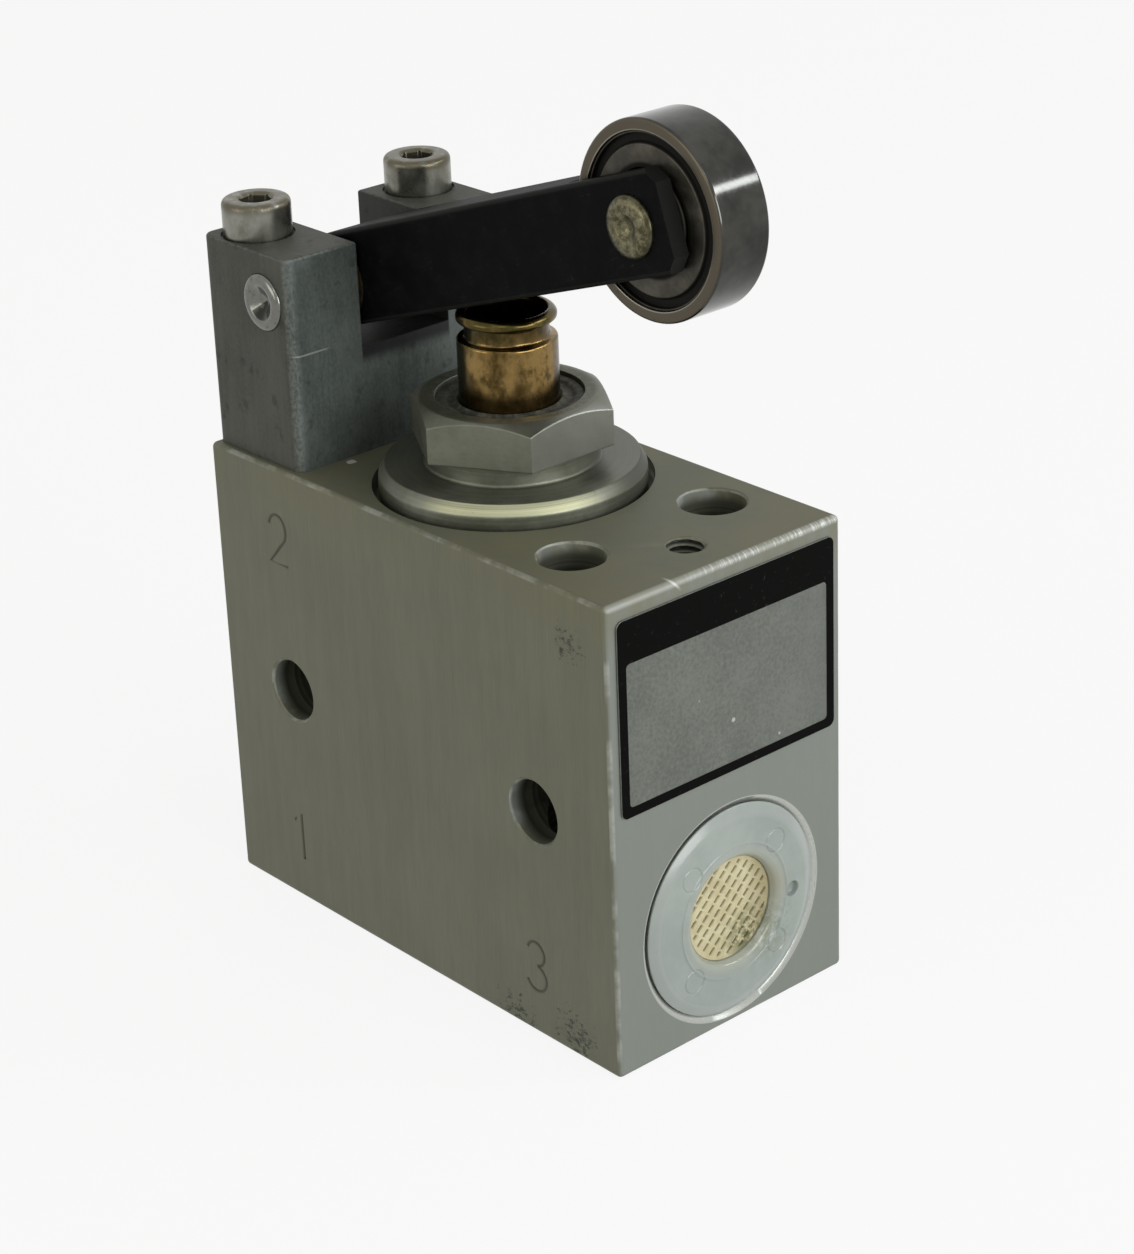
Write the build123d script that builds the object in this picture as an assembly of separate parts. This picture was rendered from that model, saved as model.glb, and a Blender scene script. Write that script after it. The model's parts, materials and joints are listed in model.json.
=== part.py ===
from build123d import *
import math
import os

# Pneumatic limit switch: a 3/2 spool valve in a block, worked by a roller lever.
# Millimetres. X runs towards the label face, Z is up, and the origin is the centre of the base.

# Clearances, one for each kind of fit
running_gap = 0.03  # radial, a part that turns or slides
seat_gap = 0.01  # radial, a part that is pressed or screwed in
facet_gap = 0.02  # axial, between a moving shoulder and its stop

# Block
body_length = 60.5
body_width = 30.5
body_height = 49.5
body_edge_radius = 0.6
hole_chamfer = 0.25
cross_hole_diameter = 6.6
cross_hole_spacing = 38.0
top_hole_diameter = 6.6
top_hole_spacing = 18.3
top_hole_setback = 11.25  # from the label face
cover_screw_core = 3.3
cover_screw_depth = 9.0
cover_screw_setback = 5.4  # from the label face
port_core_diameter = 11.8  # core of a quarter inch pipe thread
port_depth = 12.0
port_mouth_chamfer = 0.7
port_edge_distance = 12.5  # port axis from the base, and from the top
passage_diameter = 3.0
outlet_passage_diameter = 5.0

# Stepped bore of the block
bore_floor_height = 2.5
cage_bore_diameter = 16.0
cage_shoulder_height = 20.0
chamber_diameter = 21.0
chamber_top_height = 41.0
thread_diameter = 24.0
recess_diameter = 28.2
recess_depth = 2.0

# Label foil
label_side_margin = 1.15
label_top_margin = 1.7
label_height = 20.2
label_corner_radius = 0.8
label_thickness = 0.2

# Screwed insert that guides the plunger
insert_spigot_length = 4.0
insert_flange_gap = 0.7
insert_flange_rise = 2.25
insert_flange_bevel = 1.1
insert_neck_diameter = 17.2
insert_neck_length = 2.05
hex_across_flats = 18.5
hex_height = 4.75
hex_top_margin = 0.35
wiper_outer_diameter = 14.8
wiper_recess_depth = 1.5
wiper_sink = 0.4
rod_seal_outer_diameter = 14.0
rod_seal_height = 2.2
rod_seal_depth = 9.0  # below the top of the hexagon
ring_groove_depth = 1.3
ring_groove_width = 1.8

# Bracket casting
bracket_side_inset = 0.85
bracket_rear_inset = 0.2
bracket_depth = 14.0
bracket_height = 22.3
bracket_edge_radius = 1.3
slot_width = 11.2
slot_floor_rise = 11.2
bracket_screw_spacing = 20.7
bracket_screw_setback = 4.2  # from the rear face of the casting
screw_diameter = 4.0
screw_head_diameter = 7.0
screw_head_height = 4.0
screw_head_round = 0.7
screw_socket_flats = 3.0
screw_socket_depth = 2.0
screw_seat_diameter = 7.5
screw_seat_depth = 0.3
screw_engagement = 8.0

# Lever and its pivot
pivot_setback = 10.05  # from the rear face of the block
pivot_rise = 17.2  # above the block
pivot_diameter = 5.9
pivot_end_rise = 0.45
pivot_centre_radius = 1.8
lever_angle = 18.7  # at rest, up towards the roller
lever_length = 46.7  # pivot to roller
lever_depth = 9.7
lever_width = 10.2
lever_sheet = 1.8
lever_top_radius = 0.7
lever_end_reach = 4.75  # past the roller pin
lever_corner_cut = 1.4
web_rear_reach = 2.0
web_roller_gap = 0.5
bush_wall = 1.2
lever_lift_gap = 0.05  # between the lever and the plunger at rest

# Roller, a shielded ball bearing
roller_diameter = 19.0
roller_width = 6.0
roller_bore = 6.0
roller_chamfer = 0.3
outer_face_width = 1.2
outer_shoulder_diameter = 15.5
inner_shoulder_diameter = 9.5
ball_diameter = 3.5
ball_count = 7
race_gap = 0.03
ball_cage_wall = 1.0
ball_cage_base = 0.55  # below the pockets
ball_cage_tines = 0.9  # above the middle of the balls
shield_sheet = 0.25
shield_inset = 0.22
shield_groove_depth = 0.45
shield_cage_gap = 0.32  # radial, from the crimp of the shield to the ball cage
shield_lip_width = 0.22
shield_inner_gap = 0.2
pin_end_rise = 0.7
pin_centre_radius = 0.9

# Plunger
plunger_diameter = 10.0
plunger_cup_diameter = 7.8
plunger_cup_depth = 15.0
rim_height = 1.05
rim_edge_radius = 0.4
neck_diameter = 8.4
neck_height = 1.8
plunger_flange_diameter = 14.4
plunger_flange_height = 2.4
stem_socket_depth = 7.0

# Spool, cage and spring
spool_diameter = 8.0
spool_bore_diameter = 4.4
spool_bottom_rise = 4.7  # above the floor of the bore
spool_land_top_height = 30.0
stem_diameter = 5.0
window_diameter = 2.4
supply_window_height = 9.6
window_pitch = 4.4  # supply windows to exhaust windows
window_count = 4
vent_below_land = 2.2
cage_flange_height = 2.0
cage_floor_gap = 0.5
spool_pin_diameter = 1.2
spring_outer_diameter = 13.6
spring_wire = 1.3
spring_turns = 4.5

# Exhaust plug with its filter
plug_countersink_diameter = 23.4
plug_countersink_depth = 1.0
plug_flange_diameter = 21.2
plug_flange_thickness = 1.4
plug_edge_cut = 0.3
plug_tube_diameter = 14.8
plug_tube_length = 5.6
plug_window_diameter = 10.9
plug_window_depth = 0.9
plug_ring_diameter = 14.4
plug_ring_height = 0.12
plug_ring_width = 0.3
plug_bore_depth = 7.4
mark_diameter = 2.5
mark_circle_radius = 7.9
mark_depth = 0.1
mark_line = 0.12
plug_hole_diameter = 1.5
mesh_thickness = 0.7
mesh_slot_length = 1.1
mesh_slot_width = 0.42
mesh_pitch = 2.3
mesh_angle = 42.0
felt_length = 3.0

# Places that follow from the sizes above
front = body_length / 2
rear = -front
top = body_height
cross_hole_height = body_height / 2
supply_port_height = port_edge_distance
outlet_port_height = body_height - port_edge_distance
exhaust_window_height = supply_window_height + window_pitch
port_wall = port_core_diameter / 2 - port_mouth_chamfer
supply_passage_height = supply_port_height - 0.6 * port_wall
outlet_passage_height = outlet_port_height - 0.55 * port_wall
exhaust_passage_height = exhaust_window_height + 0.35
plug_height = port_edge_distance
insert_bottom = chamber_top_height - insert_spigot_length
recess_floor = top - recess_depth
flange_top = top + insert_flange_rise
hex_bottom = flange_top + insert_neck_length
hex_top = hex_bottom + hex_height
cage_top = cage_shoulder_height + cage_flange_height
bracket_rear = rear + bracket_rear_inset
bracket_front = bracket_rear + bracket_depth
bracket_half_width = body_width / 2 - bracket_side_inset
bracket_top = top + bracket_height
slot_floor = top + slot_floor_rise
screw_x = bracket_rear + bracket_screw_setback
pivot_x = rear + pivot_setback
pivot_z = top + pivot_rise
slope = math.radians(lever_angle)
roller_x = pivot_x + lever_length * math.cos(slope)
roller_z = pivot_z + lever_length * math.sin(slope)
cheek_inner = lever_width / 2 - lever_sheet
rest_reach = -math.sqrt((plunger_diameter / 2 - rim_edge_radius) ** 2 - cheek_inner**2)
lever_edge_z = pivot_z + (rest_reach - pivot_x) * math.tan(slope) - lever_depth / 2 / math.cos(slope)
plunger_top = lever_edge_z - lever_lift_gap
plunger_stop = insert_bottom - facet_gap
lever_place = Pos(pivot_x, 0, pivot_z) * Rot(0, -lever_angle, 0)
roller_place = Pos(roller_x, 0, roller_z) * Rot(-90, 0, 0)
pitch_radius = (outer_shoulder_diameter + inner_shoulder_diameter) / 4  # circle of the balls
base_aligned = (Align.CENTER, Align.CENTER, Align.MIN)


def rod(radius, bottom, height, x=0, y=0):
    """Upright round bar."""
    return Pos(x, y, bottom) * Cylinder(radius, height, align=base_aligned)


def rod_x(radius, start, length, y=0, z=0):
    """Round bar along X."""
    return Pos(start, y, z) * Rot(0, 90, 0) * Cylinder(radius, length, align=base_aligned)


def rod_y(radius, half_length, x=0, z=0):
    """Round bar along Y, centred on the middle plane."""
    return Pos(x, 0, z) * Rot(90, 0, 0) * Cylinder(radius, 2 * half_length)


def turned(corners):
    """Solid turned about Z from (radius, height) corners."""
    outline = Polyline(*[(radius, 0, height) for radius, height in corners], close=True)
    return revolve(make_face(outline), Axis.Z, 360)


def tube(outer, inner, bottom, height):
    """Upright tube given by its radii."""
    return rod(outer, bottom, height) - rod(inner, bottom, height)


def mouth(radius, cut, height, x=0, y=0):
    """Chamfer of a hole that opens upwards."""
    return Pos(x, y, height - cut) * Cone(radius, radius + cut, cut, align=base_aligned)


def side_mouths(radius, cut, half_width, x, z):
    """Chamfers at both ends of a hole along Y."""
    cone = Cone(radius, radius + cut, cut, align=base_aligned)
    near = Pos(x, -half_width + cut, z) * Rot(90, 0, 0) * cone
    far = Pos(x, half_width - cut, z) * Rot(-90, 0, 0) * cone
    return near + far


def seal_ring(inner, outer, bottom, height):
    """Elastomer ring with eased corners, as it lies squeezed in its groove."""
    cut = 0.3 * min(height, outer - inner)
    top_height = bottom + height
    return turned(
        [
            (inner + cut, bottom),
            (outer - cut, bottom),
            (outer, bottom + cut),
            (outer, top_height - cut),
            (outer - cut, top_height),
            (inner + cut, top_height),
            (inner, top_height - cut),
            (inner, bottom + cut),
        ]
    )


def valve_body():
    block = Pos(0, 0, 0) * Box(body_length, body_width, body_height, align=base_aligned)
    block = fillet(block.edges(), body_edge_radius)
    bore = (
        rod(cage_bore_diameter / 2, bore_floor_height, top)
        + rod(chamber_diameter / 2, cage_shoulder_height, top)
        + rod(thread_diameter / 2, chamber_top_height, top)
        + rod(recess_diameter / 2, recess_floor, top)
    )
    block -= bore
    for x in (-cross_hole_spacing / 2, cross_hole_spacing / 2):
        block -= rod_y(cross_hole_diameter / 2, body_width, x, cross_hole_height)
        block -= side_mouths(cross_hole_diameter / 2, hole_chamfer, body_width / 2, x, cross_hole_height)
    hole_x = front - top_hole_setback
    for y in (-top_hole_spacing / 2, top_hole_spacing / 2):
        block -= rod(top_hole_diameter / 2, -1, top + 2, hole_x, y)
        block -= mouth(top_hole_diameter / 2, hole_chamfer, top, hole_x, y)
    cover_x = front - cover_screw_setback
    block -= rod(cover_screw_core / 2, top - cover_screw_depth, top, cover_x)
    block -= mouth(cover_screw_core / 2, 0.35, top, cover_x)
    for y in (-bracket_screw_spacing / 2, bracket_screw_spacing / 2):
        block -= rod(screw_diameter / 2 + seat_gap, top - screw_engagement - 1, top, screw_x, y)
    block -= ports()
    block -= exhaust_way()
    return block


def ports():
    """Threaded supply and outlet ports in the rear face, each with its passage to the bore."""
    cut = Part()
    radius = port_core_diameter / 2
    cone = Cone(radius, radius + port_mouth_chamfer, port_mouth_chamfer, align=base_aligned)
    passages = (
        (supply_port_height, supply_passage_height, passage_diameter, cage_bore_diameter),
        (outlet_port_height, outlet_passage_height, outlet_passage_diameter, chamber_diameter),
    )
    for height, passage_height, diameter, bore in passages:
        cut += rod_x(radius, rear - 1, port_depth + 1, 0, height)
        cut += Pos(rear + port_mouth_chamfer, 0, height) * Rot(0, -90, 0) * cone
        inner_end = -math.sqrt((bore / 2) ** 2 - (diameter / 2) ** 2)
        cut += rod_x(diameter / 2, rear, inner_end - rear, 0, passage_height)
    return cut


def exhaust_way():
    """Countersink, bore and passage of the exhaust in the label face."""
    floor = front - plug_bore_depth
    sink = Pos(front - plug_countersink_depth, 0, plug_height) * Rot(0, 90, 0) * Cone(
        plug_countersink_diameter / 2 - plug_countersink_depth,
        plug_countersink_diameter / 2,
        plug_countersink_depth,
        align=base_aligned,
    )
    bore = rod_x(plug_tube_diameter / 2 + seat_gap, floor, plug_bore_depth, 0, plug_height)
    passage = rod_x(passage_diameter / 2, 0, floor + 1, 0, exhaust_passage_height)
    return sink + bore + passage


def data_label():
    width = body_width - 2 * label_side_margin
    middle = top - label_top_margin - label_height / 2
    plane = Plane(origin=(front, 0, middle), x_dir=(0, 1, 0), z_dir=(1, 0, 0))
    return extrude(plane * RectangleRounded(width, label_height, label_corner_radius), label_thickness)


def hexagon():
    """Hexagon of the insert, its top corners turned off at thirty degrees."""
    corner = hex_across_flats / math.sqrt(3)
    face = hex_across_flats / 2 - hex_top_margin
    drop = (corner - face) * math.tan(math.radians(30))
    prism = Pos(0, 0, hex_bottom) * extrude(
        RegularPolygon(hex_across_flats / 2, 6, major_radius=False, rotation=30), hex_height
    )
    envelope = turned(
        [(0, hex_bottom), (corner, hex_bottom), (corner, hex_top - drop), (face, hex_top), (0, hex_top)]
    )
    return prism & envelope


def top_insert():
    flange = recess_diameter / 2 - insert_flange_gap
    spigot = chamber_diameter / 2 - seat_gap
    thread = thread_diameter / 2 - seat_gap
    neck = insert_neck_diameter / 2
    groove = insert_bottom + (insert_spigot_length - ring_groove_width) / 2
    outline = [
        (0, insert_bottom),
        (spigot, insert_bottom),
        (spigot, groove),
        (spigot - ring_groove_depth, groove),
        (spigot - ring_groove_depth, groove + ring_groove_width),
        (spigot, groove + ring_groove_width),
        (spigot, chamber_top_height + seat_gap),
        (thread, chamber_top_height + seat_gap),
        (thread, recess_floor),
        (flange, recess_floor),
        (flange, flange_top - insert_flange_bevel),
        (flange - 0.65, flange_top),
        (neck, flange_top),
        (neck, hex_bottom),
        (0, hex_bottom),
    ]
    insert = turned(outline) + hexagon()
    insert -= rod(plunger_diameter / 2 + running_gap, insert_bottom, hex_top)
    insert -= rod(wiper_outer_diameter / 2, hex_top - wiper_recess_depth, hex_top)
    seal_bottom = hex_top - rod_seal_depth
    insert -= rod(rod_seal_outer_diameter / 2, seal_bottom, rod_seal_height)
    return insert


def insert_o_ring():
    outer = chamber_diameter / 2 - seat_gap
    bottom = insert_bottom + (insert_spigot_length - ring_groove_width) / 2
    return seal_ring(outer - ring_groove_depth, outer, bottom + 0.1, ring_groove_width - 0.2)


def wiper_ring():
    """Scraper round the plunger, its top dished towards the rod."""
    inner = plunger_diameter / 2 + running_gap
    outer = wiper_outer_diameter / 2 - seat_gap
    bottom = hex_top - wiper_recess_depth
    height = hex_top - wiper_sink
    return turned(
        [(inner, bottom), (outer, bottom), (outer, height), (inner + 0.6, height), (inner, height - 0.3)]
    )


def rod_seal():
    bottom = hex_top - rod_seal_depth
    inner = plunger_diameter / 2 + running_gap
    return seal_ring(inner, rod_seal_outer_diameter / 2 - seat_gap, bottom + 0.1, rod_seal_height - 0.2)


def lever_bracket():
    """Casting with two posts either side of the lever slot."""
    width = 2 * bracket_half_width
    middle = (bracket_rear + bracket_front) / 2
    casting = Pos(middle, 0, top) * Box(bracket_depth, width, bracket_height, align=base_aligned)
    uprights = casting.edges().filter_by(Axis.Z)
    casting = fillet(uprights, bracket_edge_radius)
    slot = Pos(middle, 0, slot_floor) * Box(2 * bracket_depth, slot_width, bracket_height, align=base_aligned)
    casting -= slot
    casting = fillet(casting.edges().group_by(Axis.Z)[-1], 0.3)
    casting -= rod_y(pivot_diameter / 2 + seat_gap, width, pivot_x, pivot_z)
    for y in (-bracket_screw_spacing / 2, bracket_screw_spacing / 2):
        casting -= rod(screw_diameter / 2 + 0.15, top - 1, bracket_height + 2, screw_x, y)
        casting -= rod(screw_seat_diameter / 2, bracket_top - screw_seat_depth, 2 * screw_seat_depth, screw_x, y)
    return casting


def bracket_screw():
    """Socket head cap screw, its seat at height zero."""
    radius = screw_head_diameter / 2
    head = turned(
        [
            (0, 0),
            (radius - 0.15, 0),
            (radius, 0.15),
            (radius, screw_head_height - screw_head_round),
            (radius - 0.3 * screw_head_round, screw_head_height - 0.3 * screw_head_round),
            (radius - screw_head_round, screw_head_height),
            (0, screw_head_height),
        ]
    )
    socket = extrude(RegularPolygon(screw_socket_flats / 2, 6, major_radius=False), screw_socket_depth)
    head -= Pos(0, 0, screw_head_height - screw_socket_depth) * socket
    head -= mouth(screw_socket_flats / 2, 0.25, screw_head_height)
    length = bracket_height - screw_seat_depth + screw_engagement
    return head + rod(screw_diameter / 2, -length, length)


def bracket_screws():
    seat = bracket_top - screw_seat_depth
    screw = bracket_screw()
    pair = [Pos(screw_x, y, seat) * screw for y in (-bracket_screw_spacing / 2, bracket_screw_spacing / 2)]
    return Compound(children=pair)


def domed_pin(radius, half_length, dome, dimple):
    """Pin along Z with a low dome and a centre mark at each end."""
    waist = half_length - dome
    cone_depth = dimple * 0.8
    half = turned(
        [
            (0, 0),
            (radius, 0),
            (radius, waist),
            (radius - 0.35 * dome, waist + 0.55 * dome),
            (radius - 1.1 * dome, half_length),
            (dimple, half_length),
            (0, half_length - cone_depth),
        ]
    )
    return half + mirror(half, Plane.XY)


def pivot_pin():
    half_length = bracket_half_width + pivot_end_rise
    pin = domed_pin(pivot_diameter / 2, half_length, pivot_end_rise, pivot_centre_radius)
    return Pos(pivot_x, 0, pivot_z) * Rot(90, 0, 0) * pin


def lever_channel():
    """Channel bent from sheet, open below, and open above where the roller runs."""
    half = lever_depth / 2
    end = lever_length + lever_end_reach
    outline = Polyline(
        (0, -half),
        (end - lever_corner_cut, -half),
        (end, -half + lever_corner_cut),
        (end, half - lever_corner_cut),
        (end - lever_corner_cut, half),
        (0, half),
    )
    heel = ThreePointArc((0, half), (-half, 0), (0, -half))
    side = Plane.XZ * make_face(outline + heel)
    lever = extrude(side, lever_width / 2, both=True)
    edges = [e for e in lever.edges().filter_by(Axis.X) if e.center().Z > half - 0.01]
    lever = fillet(edges, lever_top_radius)
    long_box = Box(3 * lever_length, 2 * cheek_inner, lever_depth)
    lever -= Pos(0, 0, -lever_sheet) * long_box
    web_front = lever_length - math.sqrt(
        (roller_diameter / 2 + web_roller_gap) ** 2 - (half - lever_sheet) ** 2
    )
    gap_align = (Align.MIN, Align.CENTER, Align.CENTER)
    lever -= Pos(web_front, 0, 0) * Box(lever_length, 2 * cheek_inner, 2 * lever_depth, align=gap_align)
    heel_align = (Align.MAX, Align.CENTER, Align.CENTER)
    lever -= Pos(-web_rear_reach, 0, 0) * Box(lever_length, 2 * cheek_inner, 2 * lever_depth, align=heel_align)
    lever -= rod_y(pivot_diameter / 2 + running_gap + bush_wall + seat_gap, lever_width, 0, 0)
    lever -= rod_y(roller_bore / 2 + seat_gap, lever_width, lever_length, 0)
    return lever_place * lever


def pivot_bush():
    inner = pivot_diameter / 2 + running_gap
    bush = Rot(90, 0, 0) * tube(inner + bush_wall, inner, -lever_width / 2, lever_width)
    return lever_place * bush


def roller_pin():
    half_length = lever_width / 2 + pin_end_rise
    pin = domed_pin(roller_bore / 2 - seat_gap, half_length, pin_end_rise, pin_centre_radius)
    return roller_place * pin


def roller_washers():
    thickness = cheek_inner - roller_width / 2
    washer = tube(inner_shoulder_diameter / 2 - 0.3, roller_bore / 2, roller_width / 2, thickness)
    return Compound(children=[roller_place * washer, roller_place * mirror(washer, Plane.XY)])


def ball_track():
    """Groove that the balls leave free in both rings."""
    return Torus(pitch_radius, ball_diameter / 2 + race_gap)


def bearing_outer_ring():
    half = roller_width / 2
    radius = roller_diameter / 2
    step = radius - outer_face_width
    seat = half - shield_inset - shield_groove_depth - shield_sheet
    shoulder = outer_shoulder_diameter / 2
    upper = [
        (shoulder, seat),
        (step, seat),
        (step, half - 0.1),
        (step + 0.1, half),
        (radius - roller_chamfer, half),
        (radius, half - roller_chamfer),
    ]
    lower = [(r, -z) for r, z in reversed(upper)]
    return roller_place * (turned(upper + lower) - ball_track())


def bearing_inner_ring():
    half = roller_width / 2
    inner = roller_bore / 2
    outer = inner_shoulder_diameter / 2
    upper = [(inner, half - 0.2), (inner + 0.2, half), (outer - 0.2, half), (outer, half - 0.2)]
    lower = [(r, -z) for r, z in reversed(upper)]
    return roller_place * (turned(upper + lower) - ball_track())


def bearing_shields():
    """Pressed steel shields, each with the groove and lip of its crimp."""
    face = roller_width / 2 - shield_inset
    floor = face - shield_groove_depth
    sheet = shield_sheet
    lip_outer = roller_diameter / 2 - outer_face_width - seat_gap
    lip_inner = lip_outer - shield_lip_width
    disc = pitch_radius + ball_cage_wall / 2 + shield_cage_gap + sheet
    inner = inner_shoulder_diameter / 2 + shield_inner_gap
    shield = turned(
        [
            (inner, face - sheet),
            (disc - 0.2 - sheet, face - sheet),
            (disc - sheet, floor - sheet),
            (lip_outer, floor - sheet),
            (lip_outer, face),
            (lip_inner, face),
            (lip_inner, floor),
            (disc, floor),
            (disc - 0.2, face),
            (inner, face),
        ]
    )
    return Compound(children=[roller_place * shield, roller_place * mirror(shield, Plane.XY)])


def ball_places():
    return [Rot(0, 0, 360 * i / ball_count) * Pos(pitch_radius, 0, 0) for i in range(ball_count)]


def bearing_balls():
    ball = Sphere(ball_diameter / 2)
    return Compound(children=[roller_place * place * ball for place in ball_places()])


def bearing_cage():
    """Crown of a ring and pockets that snaps over the balls."""
    pocket_radius = ball_diameter / 2 + race_gap
    bottom = -pocket_radius - ball_cage_base
    inner = pitch_radius - ball_cage_wall / 2
    cage = tube(inner + ball_cage_wall, inner, bottom, ball_cage_tines - bottom)
    pocket = Sphere(pocket_radius)
    for place in ball_places():
        cage -= place * pocket
    return roller_place * cage


def plunger():
    """Turned bronze cup with a rim for the lever, and a flange that stops under the insert."""
    radius = plunger_diameter / 2
    rim_floor = plunger_top - rim_height
    barrel_top = rim_floor - neck_height
    flange = plunger_flange_diameter / 2
    flange_floor = plunger_stop - plunger_flange_height
    outline = [
        (0, flange_floor),
        (flange, flange_floor),
        (flange, plunger_stop),
        (radius, plunger_stop),
        (radius, barrel_top - 0.25),
        (radius - 0.25, barrel_top),
        (neck_diameter / 2, barrel_top + 0.35),
        (neck_diameter / 2, rim_floor - 0.35),
        (radius - rim_edge_radius, rim_floor),
        (radius, rim_floor + rim_edge_radius * 0.7),
        (radius, plunger_top - rim_edge_radius),
        (radius - rim_edge_radius * 0.3, plunger_top - rim_edge_radius * 0.3),
        (radius - rim_edge_radius, plunger_top),
        (plunger_cup_diameter / 2 + 0.25, plunger_top),
        (plunger_cup_diameter / 2, plunger_top - 0.35),
        (plunger_cup_diameter / 2, plunger_top - plunger_cup_depth),
        (0, plunger_top - plunger_cup_depth - 0.8),
    ]
    cup = turned(outline)
    cup -= rod(stem_diameter / 2 + seat_gap, flange_floor - 1, stem_socket_depth + 1)
    pin_height = plunger_stop - plunger_flange_height / 2
    return cup - rod_y(spool_pin_diameter / 2 + seat_gap, flange + 1, 0, pin_height)


def valve_spool():
    """Hollow lapped spool; outlet air runs inside it and leaves by one row of holes."""
    bottom = bore_floor_height + spool_bottom_rise
    stem_top = plunger_stop - plunger_flange_height + stem_socket_depth - 0.3
    spool = rod(spool_diameter / 2 - running_gap, bottom, spool_land_top_height - bottom)
    spool += rod(stem_diameter / 2, spool_land_top_height, stem_top - spool_land_top_height)
    spool -= rod(spool_bore_diameter / 2, bottom, spool_land_top_height - 1.0 - bottom)
    for height in (exhaust_window_height, spool_land_top_height - vent_below_land):
        spool -= window_row(height, spool_diameter)
    pin_height = plunger_stop - plunger_flange_height / 2
    return spool - rod_y(spool_pin_diameter / 2 + seat_gap, stem_diameter, 0, pin_height)


def window_row(height, reach):
    """Radial holes at one height, to be cut."""
    row = Part()
    for i in range(window_count // 2):
        turn = Rot(0, 0, 45 + 360 * i / window_count)
        row += turn * rod_y(window_diameter / 2, reach, 0, height)
    return row


def spool_pin():
    length = plunger_flange_diameter / 2 - 0.4
    return rod_y(spool_pin_diameter / 2, length, 0, plunger_stop - plunger_flange_height / 2)


def cage_grooves():
    """Heights of the seal grooves: below the supply, between the windows, above the exhaust."""
    low = supply_window_height - window_diameter / 2 - 0.45 - ring_groove_width
    middle = supply_window_height + window_pitch / 2 - 0.35 * ring_groove_width
    high = exhaust_window_height + window_diameter / 2 + 1.0
    return ((low, ring_groove_width), (middle, 0.7 * ring_groove_width), (high, ring_groove_width))


def valve_cage():
    """Flanged sleeve that the spool slides in, with rows of windows and seal grooves."""
    outer = cage_bore_diameter / 2 - seat_gap
    sleeve = rod(outer, bore_floor_height + cage_floor_gap, cage_shoulder_height - bore_floor_height)
    sleeve += rod(chamber_diameter / 2 - seat_gap - 0.1, cage_shoulder_height, cage_flange_height)
    sleeve -= rod(spool_diameter / 2, 0, top)
    for bottom, width in cage_grooves():
        sleeve -= tube(outer + 1, outer - ring_groove_depth, bottom, width)
    for height in (supply_window_height, exhaust_window_height):
        sleeve -= window_row(height, cage_bore_diameter)
        sleeve -= tube(outer + 1, outer - 0.6, height - 0.8, 1.6)
    return sleeve


def cage_o_rings():
    outer = cage_bore_diameter / 2 - seat_gap
    rings = [
        seal_ring(outer - ring_groove_depth, outer, bottom + 0.05, width - 0.1)
        for bottom, width in cage_grooves()
    ]
    return Compound(children=rings)


def plunger_spring():
    """Square wire spring between the cage and the flange of the plunger, its ends ground flat."""
    bottom = cage_top + facet_gap
    length = plunger_stop - plunger_flange_height - facet_gap - bottom
    radius = spring_outer_diameter / 2 - spring_wire / 2
    path = Helix(length / spring_turns, length + spring_wire, radius)
    section = Plane(origin=path @ 0, x_dir=(1, 0, 0), z_dir=path % 0) * Rectangle(spring_wire, spring_wire)
    coil = Pos(0, 0, bottom - spring_wire / 2) * sweep(section, path=path, is_frenet=True)
    for end in (bottom - spring_wire, bottom + length + spring_wire):
        coil -= Pos(0, 0, end) * Box(2 * spring_outer_diameter, 2 * spring_outer_diameter, 2 * spring_wire)
    return coil


def plug_plane(depth=0.0):
    """Plane on the label face, centred on the exhaust, sunk by depth."""
    return Plane(origin=(front - depth, 0, plug_height), x_dir=(0, 1, 0), z_dir=(1, 0, 0))


def exhaust_plug():
    """Moulded plug with a wide flange and a window for the filter."""
    depth = plug_countersink_depth
    flange = extrude(plug_plane(depth) * Circle(plug_flange_diameter / 2), plug_flange_thickness)
    flange = chamfer(flange.edges().group_by(Axis.X)[-1], plug_edge_cut)
    face = plug_flange_thickness - depth
    plug = flange + extrude(plug_plane(depth) * Circle(plug_tube_diameter / 2), -plug_tube_length)
    ring = Circle(plug_ring_diameter / 2) - Circle(plug_ring_diameter / 2 - plug_ring_width)
    plug += extrude(plug_plane(-face) * ring, plug_ring_height)
    plug -= extrude(plug_plane(-face) * Circle(plug_window_diameter / 2), -plug_flange_thickness - plug_tube_length)
    mark = Circle(mark_diameter / 2) - Circle(mark_diameter / 2 - mark_line)
    for angle in (45, 135, 225, 315):
        place = Rot(0, 0, angle) * Pos(mark_circle_radius, 0)
        plug -= extrude(plug_plane(-face) * place * mark, -mark_depth)
    hole = Pos(mark_circle_radius, -0.7) * Circle(plug_hole_diameter / 2)
    return plug - extrude(plug_plane(-face) * hole, -plug_flange_thickness / 2)


def filter_mesh():
    """Thin disc with staggered slanting slots."""
    face = plug_flange_thickness - plug_countersink_depth - plug_window_depth
    radius = plug_window_diameter / 2 - seat_gap
    slots = Sketch()
    count = int(radius / mesh_pitch) + 1
    for row in range(-2 * count, 2 * count + 1):
        for column in range(-count - 1, count + 1):
            x = (column + 0.5 * (row % 2)) * mesh_pitch
            y = row * mesh_pitch / 2
            if math.hypot(x, y) < radius - 0.6 * mesh_slot_length:
                slots += Pos(x, y) * Rot(0, 0, mesh_angle) * Rectangle(mesh_slot_length, mesh_slot_width)
    plane = plug_plane(-face)
    return extrude(plane * (Circle(radius) - slots), -mesh_thickness)


def exhaust_felt():
    face = plug_flange_thickness - plug_countersink_depth - plug_window_depth - mesh_thickness
    return extrude(plug_plane(-face) * Circle(plug_window_diameter / 2 - seat_gap), -felt_length)


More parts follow.
